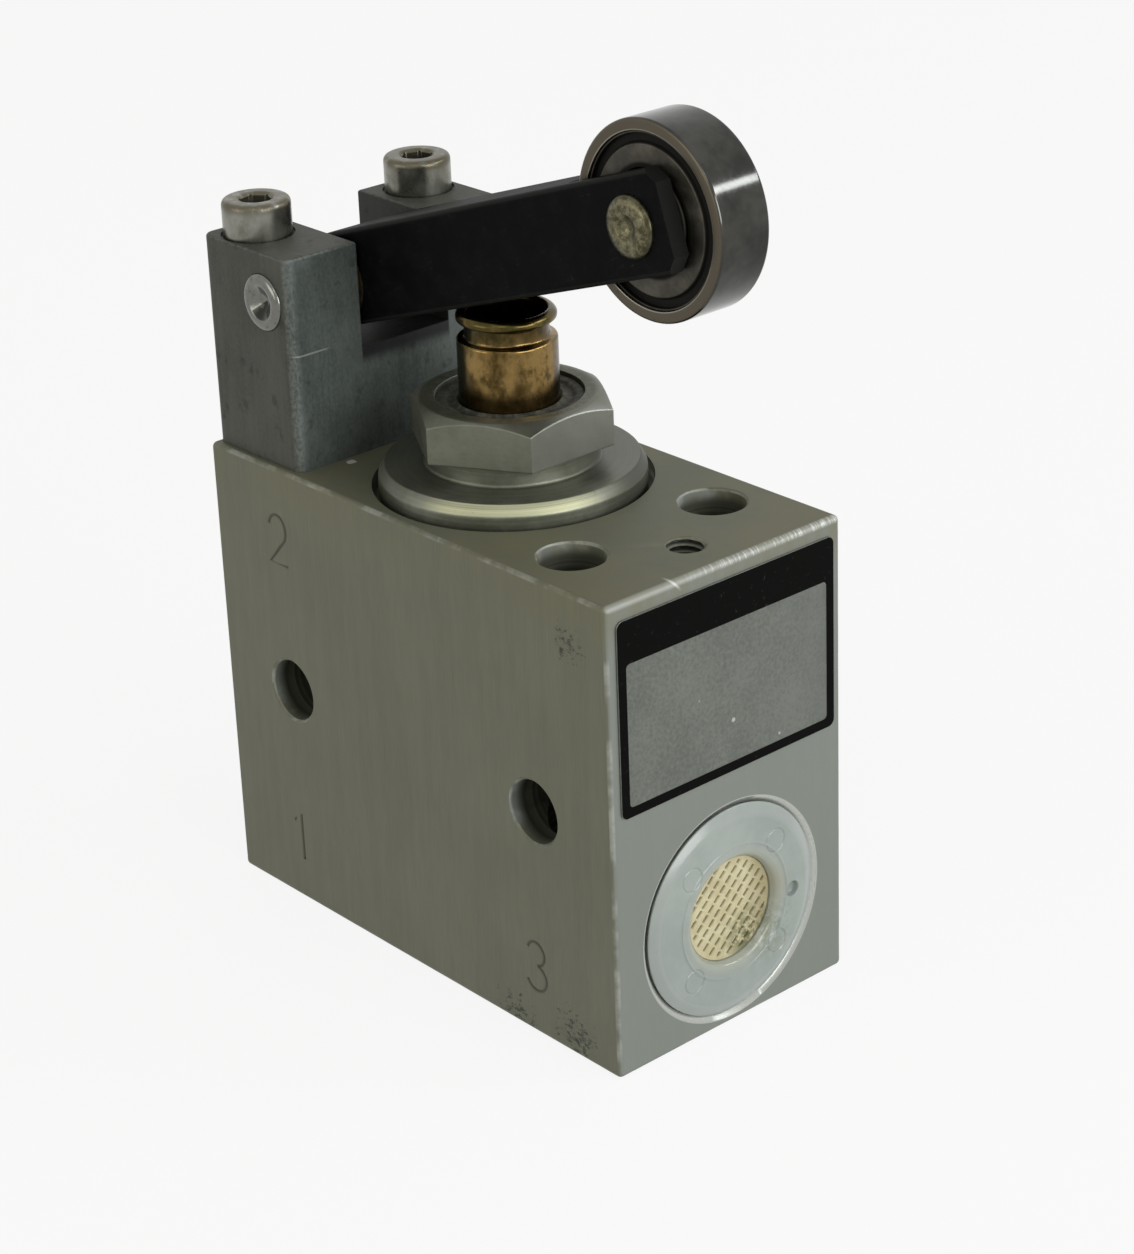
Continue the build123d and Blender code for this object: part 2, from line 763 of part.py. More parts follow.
def main():
    os.makedirs("parts", exist_ok=True)
    makers = (
        valve_body,
        data_label,
        top_insert,
        insert_o_ring,
        wiper_ring,
        rod_seal,
        lever_bracket,
        bracket_screws,
        pivot_pin,
        lever_channel,
        pivot_bush,
        roller_pin,
        roller_washers,
        bearing_outer_ring,
        bearing_inner_ring,
        bearing_shields,
        bearing_balls,
        bearing_cage,
        plunger,
        valve_spool,
        spool_pin,
        valve_cage,
        cage_o_rings,
        plunger_spring,
        exhaust_plug,
        filter_mesh,
        exhaust_felt,
    )
    for maker in makers:
        export_step(maker(), f"parts/{maker.__name__}.step")
    print(f"pivot {pivot_x:.3f} {pivot_z:.3f}, roller {roller_x:.3f} {roller_z:.3f}, plunger top {plunger_top:.3f}")


main()
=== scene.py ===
import json
import math

import bmesh
import bpy
import numpy as np
from mathutils import Matrix, Vector


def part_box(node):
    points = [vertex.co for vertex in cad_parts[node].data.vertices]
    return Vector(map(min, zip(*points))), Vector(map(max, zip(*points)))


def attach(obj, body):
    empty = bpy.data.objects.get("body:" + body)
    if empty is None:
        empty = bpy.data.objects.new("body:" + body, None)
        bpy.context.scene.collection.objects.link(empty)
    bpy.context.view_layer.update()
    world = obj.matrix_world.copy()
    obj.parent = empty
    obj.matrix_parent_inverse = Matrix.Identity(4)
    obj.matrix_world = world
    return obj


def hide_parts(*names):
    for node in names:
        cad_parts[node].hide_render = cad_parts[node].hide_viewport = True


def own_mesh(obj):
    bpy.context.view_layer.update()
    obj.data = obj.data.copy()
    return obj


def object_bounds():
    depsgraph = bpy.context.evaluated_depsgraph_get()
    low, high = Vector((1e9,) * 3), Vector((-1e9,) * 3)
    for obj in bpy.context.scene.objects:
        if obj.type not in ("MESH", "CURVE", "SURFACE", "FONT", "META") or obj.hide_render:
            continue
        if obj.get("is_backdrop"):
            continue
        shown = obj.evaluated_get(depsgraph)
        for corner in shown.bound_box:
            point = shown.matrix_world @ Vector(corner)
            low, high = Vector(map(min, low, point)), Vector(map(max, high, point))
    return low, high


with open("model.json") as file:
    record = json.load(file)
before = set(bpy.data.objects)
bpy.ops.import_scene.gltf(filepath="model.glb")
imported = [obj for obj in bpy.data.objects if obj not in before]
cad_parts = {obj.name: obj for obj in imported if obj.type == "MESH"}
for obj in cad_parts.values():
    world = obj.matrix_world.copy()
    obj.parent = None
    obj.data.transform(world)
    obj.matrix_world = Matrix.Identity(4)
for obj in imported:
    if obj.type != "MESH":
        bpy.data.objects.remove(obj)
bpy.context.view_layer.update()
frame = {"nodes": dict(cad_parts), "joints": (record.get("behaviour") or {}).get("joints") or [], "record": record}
nodes = frame["nodes"]
mm = 0.001
print("frame loaded:", len(nodes), "nodes")


# places read from the frame, in millimetres

def spanOf(name):
    low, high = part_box(name)
    return np.array(low) / mm, np.array(high) / mm


def jointNamed(name):
    return next(j for j in frame["joints"] if j["name"] == name)


def mountNamed(name):
    return next(m for m in frame["record"]["mounts"] if m["name"] == name)


bodyLow, bodyHigh = spanOf("valve_body")
blockTop = bodyHigh[2]
blockFront = bodyHigh[0]
blockSide = bodyHigh[1]
pivotAt = np.array(jointNamed("lever_swing")["pos_m"]) / mm
rollerAt = np.array(jointNamed("roller_spin")["pos_m"]) / mm
plungerTop = spanOf("plunger")[1][2]
screwTop = spanOf("bracket_screws")[1][2]
hexFloor = spanOf("top_insert")[1][2] - 4.75
meshFace = spanOf("filter_mesh")[1][0]
slotHalf = 5.75
portNumbers = {"height": 5.4, "width": 3.3, "stroke": 0.55, "depth": 0.20,
               "marks": {"2": (-19.6, 41.6), "1": (-19.4, 7.6), "3": (18.4, 7.6)}}


# surfaces worked out on a grid

def meshPiece(name, points, faces, smoothAngle=30.0):
    # loose arrays of points (mm) and faces become one object at the origin
    mesh = bpy.data.meshes.new(name)
    mesh.from_pydata((np.asarray(points) * mm).tolist(), [], faces)
    tidy = bmesh.new()
    tidy.from_mesh(mesh)
    bmesh.ops.remove_doubles(tidy, verts=tidy.verts, dist=2e-7)
    bmesh.ops.recalc_face_normals(tidy, faces=tidy.faces)
    tidy.to_mesh(mesh)
    tidy.free()
    mesh.shade_smooth()
    mesh.set_sharp_from_angle(angle=math.radians(smoothAngle))
    piece = bpy.data.objects.new(name, mesh)
    bpy.context.scene.collection.objects.link(piece)
    return piece


def gridFaces(rows, columns, start=0):
    # quads of a grid whose columns close on themselves
    r, c = np.meshgrid(np.arange(rows - 1), np.arange(columns), indexing="ij")
    n = (c + 1) % columns
    quads = np.stack([r * columns + c, r * columns + n, (r + 1) * columns + n, (r + 1) * columns + c], -1)
    return (quads.reshape(-1, 4) + start).tolist()


def roundPiece(name, radii, heights, place=None, smoothAngle=30.0, closed=False):
    # point = (radius(row, angle) cos angle, radius sin angle, height(row)); radii may vary with the angle
    radii = np.asarray(radii, float)
    if radii.ndim == 1:
        radii = np.repeat(radii[:, None], roundSegments, 1)
    columns = radii.shape[1]
    angle = np.linspace(0, 2 * np.pi, columns, endpoint=False)[None, :]
    level = np.asarray(heights, float)
    level = level[:, None] if level.ndim == 1 else level
    points = np.stack([radii * np.cos(angle), radii * np.sin(angle), level + 0 * radii], -1)
    if closed:
        points = np.concatenate([points, points[:1]])
    points = placed(points.reshape(-1, 3), place)
    return meshPiece(name, points, gridFaces(len(radii) + int(closed), columns), smoothAngle)


def placed(points, place):
    # points through a 4 x 4 matrix, both in millimetres
    if place is None:
        return points
    matrix = np.array(place)
    return points @ matrix[:3, :3].T + matrix[:3, 3]


def roundedLine(corners, radius, steps=4):
    # polyline whose inner corners become arcs: each corner is replaced by a quadratic curve that
    # starts and ends one radius along its two edges; a corner may carry its own radius
    out = [np.array(corners[0][:2], float)]
    for before, corner, after in zip(corners[:-2], corners[1:-1], corners[2:]):
        own = corner[2] if len(corner) > 2 else radius
        here = np.array(corner[:2], float)
        back = np.array(before[:2], float) - here
        ahead = np.array(after[:2], float) - here
        lengths = np.linalg.norm(back), np.linalg.norm(ahead)
        reach = min(own, 0.45 * lengths[0], 0.45 * lengths[1])
        if reach < 1e-4:
            out.append(here)
            continue
        start, end = here + back / lengths[0] * reach, here + ahead / lengths[1] * reach
        t = np.linspace(0, 1, steps + 1)[:, None]
        out.extend((1 - t) ** 2 * start + 2 * t * (1 - t) * here + t**2 * end)
    out.append(np.array(corners[-1][:2], float))
    return np.array(out)


def turnedRing(name, corners, edge=0.12, place=None, smoothAngle=30.0):
    # ring turned from a closed outline of (radius, height, edge radius) corners
    start = (np.array(corners[0][:2], float) + np.array(corners[-1][:2], float)) / 2
    line = roundedLine([tuple(start), *corners, tuple(start)], edge)[:-1]
    return roundPiece(name, line[:, 0], line[:, 1], place, smoothAngle, closed=True)


def turnedSolid(name, corners, edge=0.12, place=None, smoothAngle=30.0):
    # solid turned from an outline whose two ends lie on the axis
    line = roundedLine(corners, edge)
    return roundPiece(name, line[:, 0], line[:, 1], place, smoothAngle)


def arcPoints(middle, radius, start, end, steps=12):
    turn = np.radians(np.linspace(start, end, steps))
    return [(middle[0] + radius * math.cos(a), middle[1] + radius * math.sin(a), 0) for a in turn]


def hexRadius(flats, columns, turn=0.0):
    # distance to the side of a hexagon: half the flats over the cosine of the angle off the nearest flat
    angle = np.linspace(0, 2 * np.pi, columns, endpoint=False) - turn
    off = (angle + np.pi / 6) % (np.pi / 3) - np.pi / 6
    return flats / 2 / np.cos(off)


def softMin(a, b, width):
    # smaller of two values with a rounded changeover
    h = np.clip(0.5 + 0.5 * (b - a) / width, 0, 1)
    return b * (1 - h) + a * h - width * h * (1 - h)


def alongY(at):
    # the piece's own Z becomes the object's Y
    return Matrix.Translation(Vector(at)) @ Matrix.Rotation(math.radians(-90), 4, "X")


def smoothCopy(node, name, smoothAngle=28.0):
    # merged copy of a construction part, with its flat faces kept flat in the shading
    mesh = nodes[node].data.copy()
    tidy = bmesh.new()
    tidy.from_mesh(mesh)
    bmesh.ops.remove_doubles(tidy, verts=tidy.verts, dist=2e-7)
    bmesh.ops.dissolve_degenerate(tidy, edges=tidy.edges, dist=1e-7)
    tidy.to_mesh(mesh)
    tidy.free()
    mesh.name = name
    mesh.shade_smooth()
    mesh.set_sharp_from_angle(angle=math.radians(smoothAngle))
    piece = bpy.data.objects.new(name, mesh)
    bpy.context.scene.collection.objects.link(piece)
    return piece


def flatShading(piece):
    weighted = piece.modifiers.new("weighted", "WEIGHTED_NORMAL")
    weighted.keep_sharp = True
    weighted.weight = 80


def softened(node, name, width, steps=2):
    # copy of a construction part with its flat faces joined up and its sharp edges rubbed round
    piece = smoothCopy(node, name)
    tidy = bmesh.new()
    tidy.from_mesh(piece.data)
    bmesh.ops.dissolve_limit(tidy, angle_limit=math.radians(0.4), verts=tidy.verts, edges=tidy.edges)
    tidy.to_mesh(piece.data)
    tidy.free()
    bevel = piece.modifiers.new("edges", "BEVEL")
    bevel.width = width * mm
    bevel.segments = steps
    bevel.limit_method = "ANGLE"
    bevel.angle_limit = math.radians(32)
    bevel.use_clamp_overlap = True
    flatShading(piece)
    return piece


def joined(name, pieces):
    # several meshes become one piece
    points, faces, start = [], [], 0
    for piece in pieces:
        points.extend(v.co[:] for v in piece.data.vertices)
        faces.extend([start + i for i in f.vertices] for f in piece.data.polygons)
        start = len(points)
        bpy.data.objects.remove(piece)
    return meshPiece(name, np.array(points) / mm, faces)


def standFor(piece, body, slot, *replaced):
    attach(piece, body)
    if replaced:
        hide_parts(*replaced)


roundSegments = 160


# materials: sockets wrapped so that maths on them is written as Python

class Signal:
    def __init__(self, paint, socket):
        self.paint = paint
        self.socket = socket

    def __add__(self, other):
        return self.paint.maths("ADD", self, other)

    def __sub__(self, other):
        return self.paint.maths("SUBTRACT", self, other)

    def __rsub__(self, other):
        return self.paint.maths("SUBTRACT", other, self)

    def __mul__(self, other):
        return self.paint.maths("MULTIPLY", self, other)

    def __truediv__(self, other):
        return self.paint.maths("DIVIDE", self, other)

    def __pow__(self, other):
        return self.paint.maths("POWER", self, other)

    def __abs__(self):
        return self.paint.maths("ABSOLUTE", self, 0.0)

    __radd__ = __add__
    __rmul__ = __mul__


class Paint:
    def __init__(self, name, **look):
        self.material = bpy.data.materials.new(name)
        self.material.use_nodes = True
        self.tree = self.material.node_tree
        self.shader = self.tree.nodes["Principled BSDF"]
        for socket, value in look.items():
            self.shader.inputs[socket.replace("_", " ")].default_value = value
        coords = self.node("ShaderNodeTexCoord")
        self.place = self.node("ShaderNodeVectorMath", {"operation": "SCALE"},
                               {0: coords.outputs["Object"], "Scale": 1 / mm}).outputs[0]
        self.x, self.y, self.z = self.split(self.place)
        self.nx, self.ny, self.nz = self.split(coords.outputs["Normal"])

    def node(self, kind, settings=None, values=None):
        made = self.tree.nodes.new(kind)
        for key, value in (settings or {}).items():
            if key == "stops":
                ramp = made.color_ramp.elements
                while len(ramp) < len(value):
                    ramp.new(0.5)
                for element, (spot, colour) in zip(ramp, value):
                    element.position = spot
                    element.color = (*colour, 1)
            else:
                setattr(made, key, value)
        for key, value in (values or {}).items():
            if isinstance(value, Signal):
                value = value.socket
            if isinstance(value, bpy.types.NodeSocket):
                self.tree.links.new(value, made.inputs[key])
            else:
                made.inputs[key].default_value = value
        return made

    def maths(self, operation, a, b):
        return Signal(self, self.node("ShaderNodeMath", {"operation": operation}, {0: a, 1: b}).outputs[0])

    def split(self, vector):
        parts = self.node("ShaderNodeSeparateXYZ", None, {0: vector})
        return [Signal(self, parts.outputs[i]) for i in range(3)]

    def stretched(self, factors, shift=(0, 0, 0)):
        scaled = self.node("ShaderNodeVectorMath", {"operation": "MULTIPLY"}, {0: self.place, 1: factors})
        moved = self.node("ShaderNodeVectorMath", {"operation": "ADD"}, {0: scaled.outputs[0], 1: shift})
        return moved.outputs[0]

    def noise(self, factors, detail=3.0, rough=0.55, shift=(0, 0, 0)):
        values = {"Vector": self.stretched(factors, shift), "Scale": 1.0, "Detail": detail, "Roughness": rough}
        return Signal(self, self.node("ShaderNodeTexNoise", None, values).outputs["Fac"])

    def noiseAt(self, vector, detail=3.0, rough=0.55):
        values = {"Vector": vector, "Scale": 1.0, "Detail": detail, "Roughness": rough}
        return Signal(self, self.node("ShaderNodeTexNoise", None, values).outputs["Fac"])

    def ease(self, value, low, high, start=0.0, end=1.0):
        # smooth step from low to high, giving start to end
        values = {"Value": value, "From Min": low, "From Max": high, "To Min": start, "To Max": end}
        made = self.node("ShaderNodeMapRange", {"interpolation_type": "SMOOTHSTEP"}, values)
        return Signal(self, made.outputs["Result"])

    def join(self, x, y, z):
        return self.node("ShaderNodeCombineXYZ", None, {0: x, 1: y, 2: z}).outputs[0]

    def mix(self, factor, a, b):
        made = self.node("ShaderNodeMix", {"data_type": "RGBA"}, {0: factor})
        for index, colour in ((6, a), (7, b)):
            if isinstance(colour, tuple):
                made.inputs[index].default_value = (*colour, 1)
            else:
                self.tree.links.new(colour, made.inputs[index])
        return made.outputs[2]

    def near(self, spot, radius):
        # 1 inside a ball round the spot, fading to 0 at its edge
        away = self.node("ShaderNodeVectorMath", {"operation": "DISTANCE"}, {0: self.place, 1: spot})
        return self.ease(Signal(self, away.outputs["Value"]), 0.0, radius, 1.0, 0.0)

    def wear(self, low=0.90, high=0.985):
        # 1 where the surface turns between two square faces
        largest = self.maths("MAXIMUM", self.maths("MAXIMUM", abs(self.nx), abs(self.ny)), abs(self.nz))
        return self.ease(largest, low, high, 1.0, 0.0)

    def distance(self, a, b):
        return (a * a + b * b) ** 0.5

    def colour(self, socket):
        self.tree.links.new(socket, self.shader.inputs["Base Color"])

    def drive(self, name, signal):
        self.tree.links.new(signal.socket, self.shader.inputs[name])

    def bump(self, height, depth, strength=1.0):
        # depth in millimetres for a height of one
        made = self.node("ShaderNodeBump", None, {"Height": height, "Distance": depth * mm, "Strength": strength})
        self.tree.links.new(made.outputs[0], self.shader.inputs["Normal"])
        return self.material


def anodisedBlock():
    p = Paint("anodisedBlock", Metallic=0.25, IOR=1.45)
    look = {"side": (0.112, 0.115, 0.078), "sideLight": (0.152, 0.155, 0.112), "front": (0.176, 0.189, 0.170),
            "top": (0.114, 0.118, 0.084), "bare": (0.52, 0.53, 0.50), "stain": (0.150, 0.132, 0.070),
            "grime": (0.014, 0.014, 0.009)}
    brush = p.noise((8.0, 8.0, 0.24), 4, 0.65)
    broad = p.noise((0.9, 0.9, 0.05), 3, 0.5, (3, 1, 0))
    cloud = p.noise((0.07, 0.07, 0.07), 3, 0.6, (9, 2, 5))
    grain = p.noise((11, 11, 11), 2, 0.6)
    upright = 1 - p.ease(p.nz, 0.6, 0.8)
    streak = (p.ease(brush, 0.36, 0.66) * 0.50 + p.ease(broad, 0.35, 0.65) * 0.22) * upright
    tone = streak + p.ease(cloud, 0.3, 0.7) * 0.35 + grain * 0.12
    side = p.mix(tone, look["side"], look["sideLight"])
    # painted light: the front face is painted lighter and more neutral than the side and top faces, standing in for the
    # light that falls mostly on the front
    litFront = p.ease(p.nx, 0.55, 0.85)
    front = p.mix(tone * 0.6, look["front"], tuple(1.12 * v for v in look["front"]))
    base = p.mix(litFront, side, front)
    upper = p.mix(p.ease(cloud, 0.3, 0.7), look["top"], tuple(1.25 * v for v in look["top"]))
    base = p.mix(p.ease(p.nz, 0.6, 0.9), base, upper)
    # yellow cast below the top edge of the side face
    band = p.ease(p.z, blockTop - 6.0, blockTop - 0.5) * p.ease(cloud + broad * 0.5, 0.55, 0.95)
    base = p.mix(band * 0.55, base, look["stain"])
    # rubbed edges, most along the front top edge with small nicks across it
    nicks = p.ease(p.noise((0.4, 5.0, 0.4), 3, 0.7), 0.50, 0.60)
    edge = p.wear() * p.ease(p.noise((0.35, 0.35, 0.35), 3, 0.6), 0.40, 0.70)
    frontTop = p.ease(p.x + p.z, blockFront + blockTop - 0.75, blockFront + blockTop - 0.35)
    rubbed = p.maths("MAXIMUM", edge * 0.35, frontTop * (0.35 + 0.65 * nicks * p.ease(p.y, -9.0, 4.0)))
    base = p.mix(rubbed, base, look["bare"])
    # nick across the front top edge and a white speck beside the bracket
    slant = abs(p.y + 6.8 + (p.z - blockTop) * 0.9)
    nick = p.ease(slant, 0.10, 0.24, 1.0, 0.0) * p.near((blockFront, -6.8, blockTop), 1.7)
    chip = p.ease(p.near((-15.0, -8.7, blockTop), 0.9) + p.noise((1.6, 1.6, 1.6), 2, 0.5) * 0.9, 0.80, 0.90)
    base = p.mix(nick * 0.9 + chip * 0.8, base, (0.62, 0.62, 0.58))
    # dark specks by three spots on the side face
    around = p.near((24.9, -15.2, 44.2), 3.4) + p.near((24.0, -15.2, 2.0), 5.0) + p.near((15.0, -15.2, 0.9), 5.0)
    speck = p.noise((1.1, 1.1, 1.7), 5, 0.85, (4, 4, 4)) + around * 0.16
    dirt = p.ease(speck, 0.635, 0.70) * p.ease(around, 0.02, 0.25)
    base = p.mix(dirt * 0.9, base, look["grime"])
    # the stamped numbers are darker inside their grooves
    stamped = sum(p.ease(p.near((x, -blockSide, z), 4.6), 0.0, 0.1) for x, z in portNumbers["marks"].values())
    groove = stamped * p.ease(p.y, 0.03 - blockSide, 0.12 - blockSide) * p.ease(p.y, 0.45 - blockSide, 0.35 - blockSide)
    base = p.mix(groove * 0.65, base, (0.035, 0.036, 0.022))
    # walls of the bolt holes: painted shade down the holes, with rings left by the drill
    side, top = mountNamed("side_bolt_holes"), mountNamed("top_bolt_holes")
    along = abs(p.x) - side["dims"]["spacing_x_mm"] / 2
    across = abs(p.y) - top["dims"]["spacing_y_mm"] / 2
    sunkShade = p.ease(p.y, bodyLow[1] + 0.3, bodyLow[1] + 1.6) * p.ease(
        p.distance(along, p.z - side["pos_m"][2] / mm), side["dims"]["hole_r_mm"] + 0.12, side["dims"]["hole_r_mm"] + 0.03)
    deepShade = p.ease(p.z, blockTop - 0.3, blockTop - 1.6) * p.ease(
        p.distance(p.x - top["pos_m"][0] / mm, across), top["dims"]["hole_r_mm"] + 0.12, top["dims"]["hole_r_mm"] + 0.03)
    rings = p.ease(p.noiseAt(p.join(sunkShade * p.y * 1.6, deepShade * p.z * 1.6, 0.0), 3, 0.7), 0.35, 0.62)
    shadedDrillRings = p.mix(rings, (0.016, 0.017, 0.010), (0.090, 0.094, 0.068))
    base = p.mix(p.maths("MAXIMUM", sunkShade, deepShade), base, shadedDrillRings)
    # painted shade in the tapped holes: thread roots are darker than their crests
    cover = p.distance(p.x - mountNamed("cover_screw_hole")["pos_m"][0] / mm, p.y)
    tapped = p.ease(cover, 2.30, 2.20) * p.ease(p.z, blockTop - 0.15, blockTop - 0.5)
    base = p.mix(tapped, base, p.mix(p.ease(cover, 1.68, 1.98), (0.150, 0.152, 0.118), (0.008, 0.008, 0.005)))
    for port in ("outlet_port", "supply_port"):
        bore = p.distance(p.y, p.z - mountNamed(port)["pos_m"][2] / mm)
        tapped = p.ease(bore, 6.62, 6.54) * p.ease(p.x, bodyLow[0] + 0.3, bodyLow[0] + 0.8) * p.ease(p.x, 0.0, -5.0)
        base = p.mix(tapped, base, p.mix(p.ease(bore, 5.95, 6.40), (0.130, 0.132, 0.100), (0.022, 0.022, 0.015)))
    # cleanly cut cone round the exhaust plug
    cone = p.ease(p.distance(p.y, p.z - 12.5), 11.85, 11.72) * p.ease(p.x, blockFront + 0.2, blockFront - 0.02)
    cone = cone * p.ease(p.x, blockFront - 1.6, blockFront - 1.1)
    base = p.mix(cone * 0.9, base, (0.42, 0.43, 0.40))
    p.colour(base)
    p.drive("Roughness", 0.50 + 0.10 * brush - 0.14 * rubbed + 0.06 * cloud - 0.30 * cone)
    return p.bump(brush * upright * 0.7 + grain * 0.3, 0.012)


def zincCasting():
    p = Paint("zincCasting", Metallic=0.45, IOR=1.45)
    grain = p.noise((3.2, 3.2, 2.2), 4, 0.7)
    streak = p.noise((1.4, 1.4, 0.12), 4, 0.6)
    cloud = p.noise((0.16, 0.16, 0.10), 3, 0.6)
    fine = p.noise((13, 13, 13), 2, 0.6)
    tone = p.ease(grain * 0.5 + streak * 0.3 + cloud * 0.5, 0.42, 0.86)
    # painted light: faces turned to the front are painted lighter and cooler than the rest
    frontSheen = p.ease(p.nx, 0.3, 0.9)
    dark = p.mix(frontSheen, (0.033, 0.034, 0.027), (0.053, 0.064, 0.058))
    light = p.mix(frontSheen, (0.069, 0.071, 0.057), (0.114, 0.132, 0.122))
    base = p.mix(tone, dark, light)
    # darker round patches low on the side face
    patch = p.ease(p.noise((0.55, 0.55, 0.45), 3, 0.6, (5, 0, 2)), 0.58, 0.72)
    base = p.mix(patch * 0.45, base, (0.022, 0.023, 0.018))
    # lighter rounded edges: wear, and a painted highlight along the rounded edges
    rubbed = p.wear(0.86, 0.98) * p.ease(grain, 0.35, 0.65)
    base = p.mix(rubbed * 0.24, base, (0.26, 0.27, 0.26))
    # two fine scratches on the near post
    mark = p.ease(abs(p.z - 61.6 + (p.x + 15.0) * 0.10), 0.05, 0.13, 1.0, 0.0) * p.near((-15.5, -12.0, 61.8), 3.4)
    base = p.mix(p.ease(mark, 0.1, 0.5) * 0.7, base, (0.30, 0.31, 0.28))
    # painted shade inside the slot that takes the lever, near black
    slot = p.ease(abs(p.y), slotHalf - 0.25, slotHalf + 0.05, 1.0, 0.0) * p.ease(p.z, 58.5, 60.0)
    base = p.mix(slot * 0.92, base, (0.004, 0.004, 0.004))
    p.colour(base)
    p.drive("Roughness", 0.50 + 0.16 * grain + 0.10 * patch)
    return p.bump(grain * 0.6 + fine * 0.4, 0.035)


def blackOxide():
    p = Paint("blackOxide", Metallic=0.0, IOR=1.45)
    p.shader.inputs["Specular IOR Level"].default_value = 0.04
    rub = p.noise((0.5, 0.5, 0.5), 4, 0.65)
    fine = p.noise((9, 9, 9), 2, 0.6)
    # fine scratches: narrow bands of a noise stretched along two slanting directions
    oneWay = p.noiseAt(p.join((p.x + p.z * 0.55) * 0.22, 0.0, (p.z - p.x * 0.55) * 2.2), 2, 0.5)
    other = p.noiseAt(p.join((p.x - p.z * 1.6) * 0.16, 3.0, (p.z + p.x * 1.6) * 1.4), 2, 0.5)
    thin = p.ease(abs(oneWay - 0.62), 0.002, 0.006, 1.0, 0.0) + p.ease(abs(other - 0.66), 0.002, 0.005, 1.0, 0.0)
    base = p.mix(p.ease(rub, 0.35, 0.75), (0.0016, 0.0020, 0.0019), (0.0040, 0.0046, 0.0042))
    base = p.mix(p.maths("MINIMUM", thin, 1.0) * p.ease(rub, 0.48, 0.6) * 0.45, base, (0.050, 0.050, 0.045))
    # the sheet's cut edges are a dull charcoal
    cut = p.ease(p.nx, 0.55, 0.80)
    base = p.mix(cut * 0.85, base, (0.0135, 0.0130, 0.0118))
    base = p.mix(p.wear(0.88, 0.97) * 0.35, base, (0.030, 0.030, 0.028))
    p.colour(base)
    p.drive("Roughness", 0.46 + 0.14 * rub)
    return p.bump(fine, 0.005)


def turnedAluminium():
    p = Paint("turnedAluminium", Metallic=0.75)
    reach = p.distance(p.x, p.y)
    turned = p.ease(p.z, hexFloor - 0.4, hexFloor, 1.0, 0.0)
    rings = p.noiseAt(p.join(reach * 4.5, p.z * 3.0, 0.0), 4, 0.7) * turned + 0.5 * (1 - turned)
    smear = p.noise((0.20, 0.20, 0.20), 4, 0.65)
    scuff = p.noise((1.3, 1.3, 2.6), 4, 0.75)
    tone = p.ease(rings * 0.45 + smear * 0.55 + scuff * 0.18, 0.42, 0.82)
    base = p.mix(tone, (0.110, 0.113, 0.082), (0.200, 0.205, 0.168))
    # top of the hexagon: oily and scuffed round the plunger
    crown = p.ease(p.z, hexFloor + 4.2, hexFloor + 4.7) * p.ease(reach, 8.9, 8.2)
    base = p.mix(crown * p.ease(scuff, 0.36, 0.56) * 0.75, base, (0.052, 0.052, 0.034))
    # painted shade on the flange, darker away from the front and towards its right
    awayShade = p.ease(p.x - p.y * 0.5, 9.0, -1.0) * turned
    base = p.mix(awayShade * 0.5, base, (0.070, 0.072, 0.052))
    base = p.mix(p.ease(p.y, 0.0, 7.0) * turned * 0.5, base, (0.080, 0.082, 0.068))
    # the hexagon is given a darker tone
    base = p.mix((1 - turned) * 0.35, base, (0.080, 0.083, 0.058))
    # painted highlight on the front of the flange's bevel, and painted shade on the bevel's right
    bevel = turned * p.ease(p.nz, 0.25, 0.45) * p.ease(p.nz, 0.98, 0.85)
    lit = p.ease(p.x * 0.755 - p.y * 0.656, 9.2, 12.0) * bevel
    base = p.mix(lit * (0.45 + 0.5 * p.ease(rings, 0.40, 0.62)), base, (0.42, 0.42, 0.27))
    base = p.mix(bevel * p.ease(p.y, -0.5, 4.5) * 0.85, base, (0.060, 0.061, 0.048))
    # painted light: the flank turned to the right of the front corner is painted lighter
    paler = (1 - turned) * p.ease(p.nx, 0.3, 0.5) * p.ease(p.ny, -0.2, 0.2)
    base = p.mix(paler * 0.7, base, (0.31, 0.32, 0.30))
    pit = p.ease(p.noise((2.2, 2.2, 2.2), 4, 0.8), 0.64, 0.70)
    base = p.mix(pit * 0.5, base, (0.030, 0.030, 0.020))
    p.colour(base)
    p.drive("Roughness", 0.30 + 0.20 * smear + 0.10 * crown + 0.12 * bevel)
    return p.bump(rings * 0.7 + scuff * 0.3, 0.022)


def bronze():
    p = Paint("bronze", Metallic=1.0)
    turned = p.noiseAt(p.join(p.z * 5.0, 0.0, 0.0), 4, 0.7)
    streak = p.noise((0.30, 0.30, 0.20), 4, 0.65)
    blot = p.noise((0.40, 0.40, 0.30), 4, 0.7, (2, 7, 1))
    base = p.mix(p.ease(streak, 0.34, 0.64), (0.052, 0.033, 0.010), (0.245, 0.160, 0.058))
    base = p.mix(p.ease(blot, 0.48, 0.64) * 0.75, base, (0.036, 0.025, 0.008))
    # darker olive towards the top and on the side away from the front
    darkOlive = p.ease(p.z, plungerTop - 3.4, plungerTop - 0.6) + p.ease(p.x + p.y * 0.3, 1.0, -4.5)
    base = p.mix(p.maths("MINIMUM", darkOlive, 1.0) * p.ease(blot, 0.30, 0.55) * 0.75, base, (0.052, 0.046, 0.015))
    # painted shade inside the cup, below its rim
    inside = p.ease(p.distance(p.x, p.y), 4.35, 4.05) * p.ease(p.z, plungerTop - 0.1, plungerTop - 1.2)
    base = p.mix(inside * 0.9, base, (0.012, 0.010, 0.005))
    p.colour(base)
    p.drive("Roughness", 0.12 + 0.24 * blot)
    return p.bump(turned * 0.5 + blot * 0.5, 0.014)


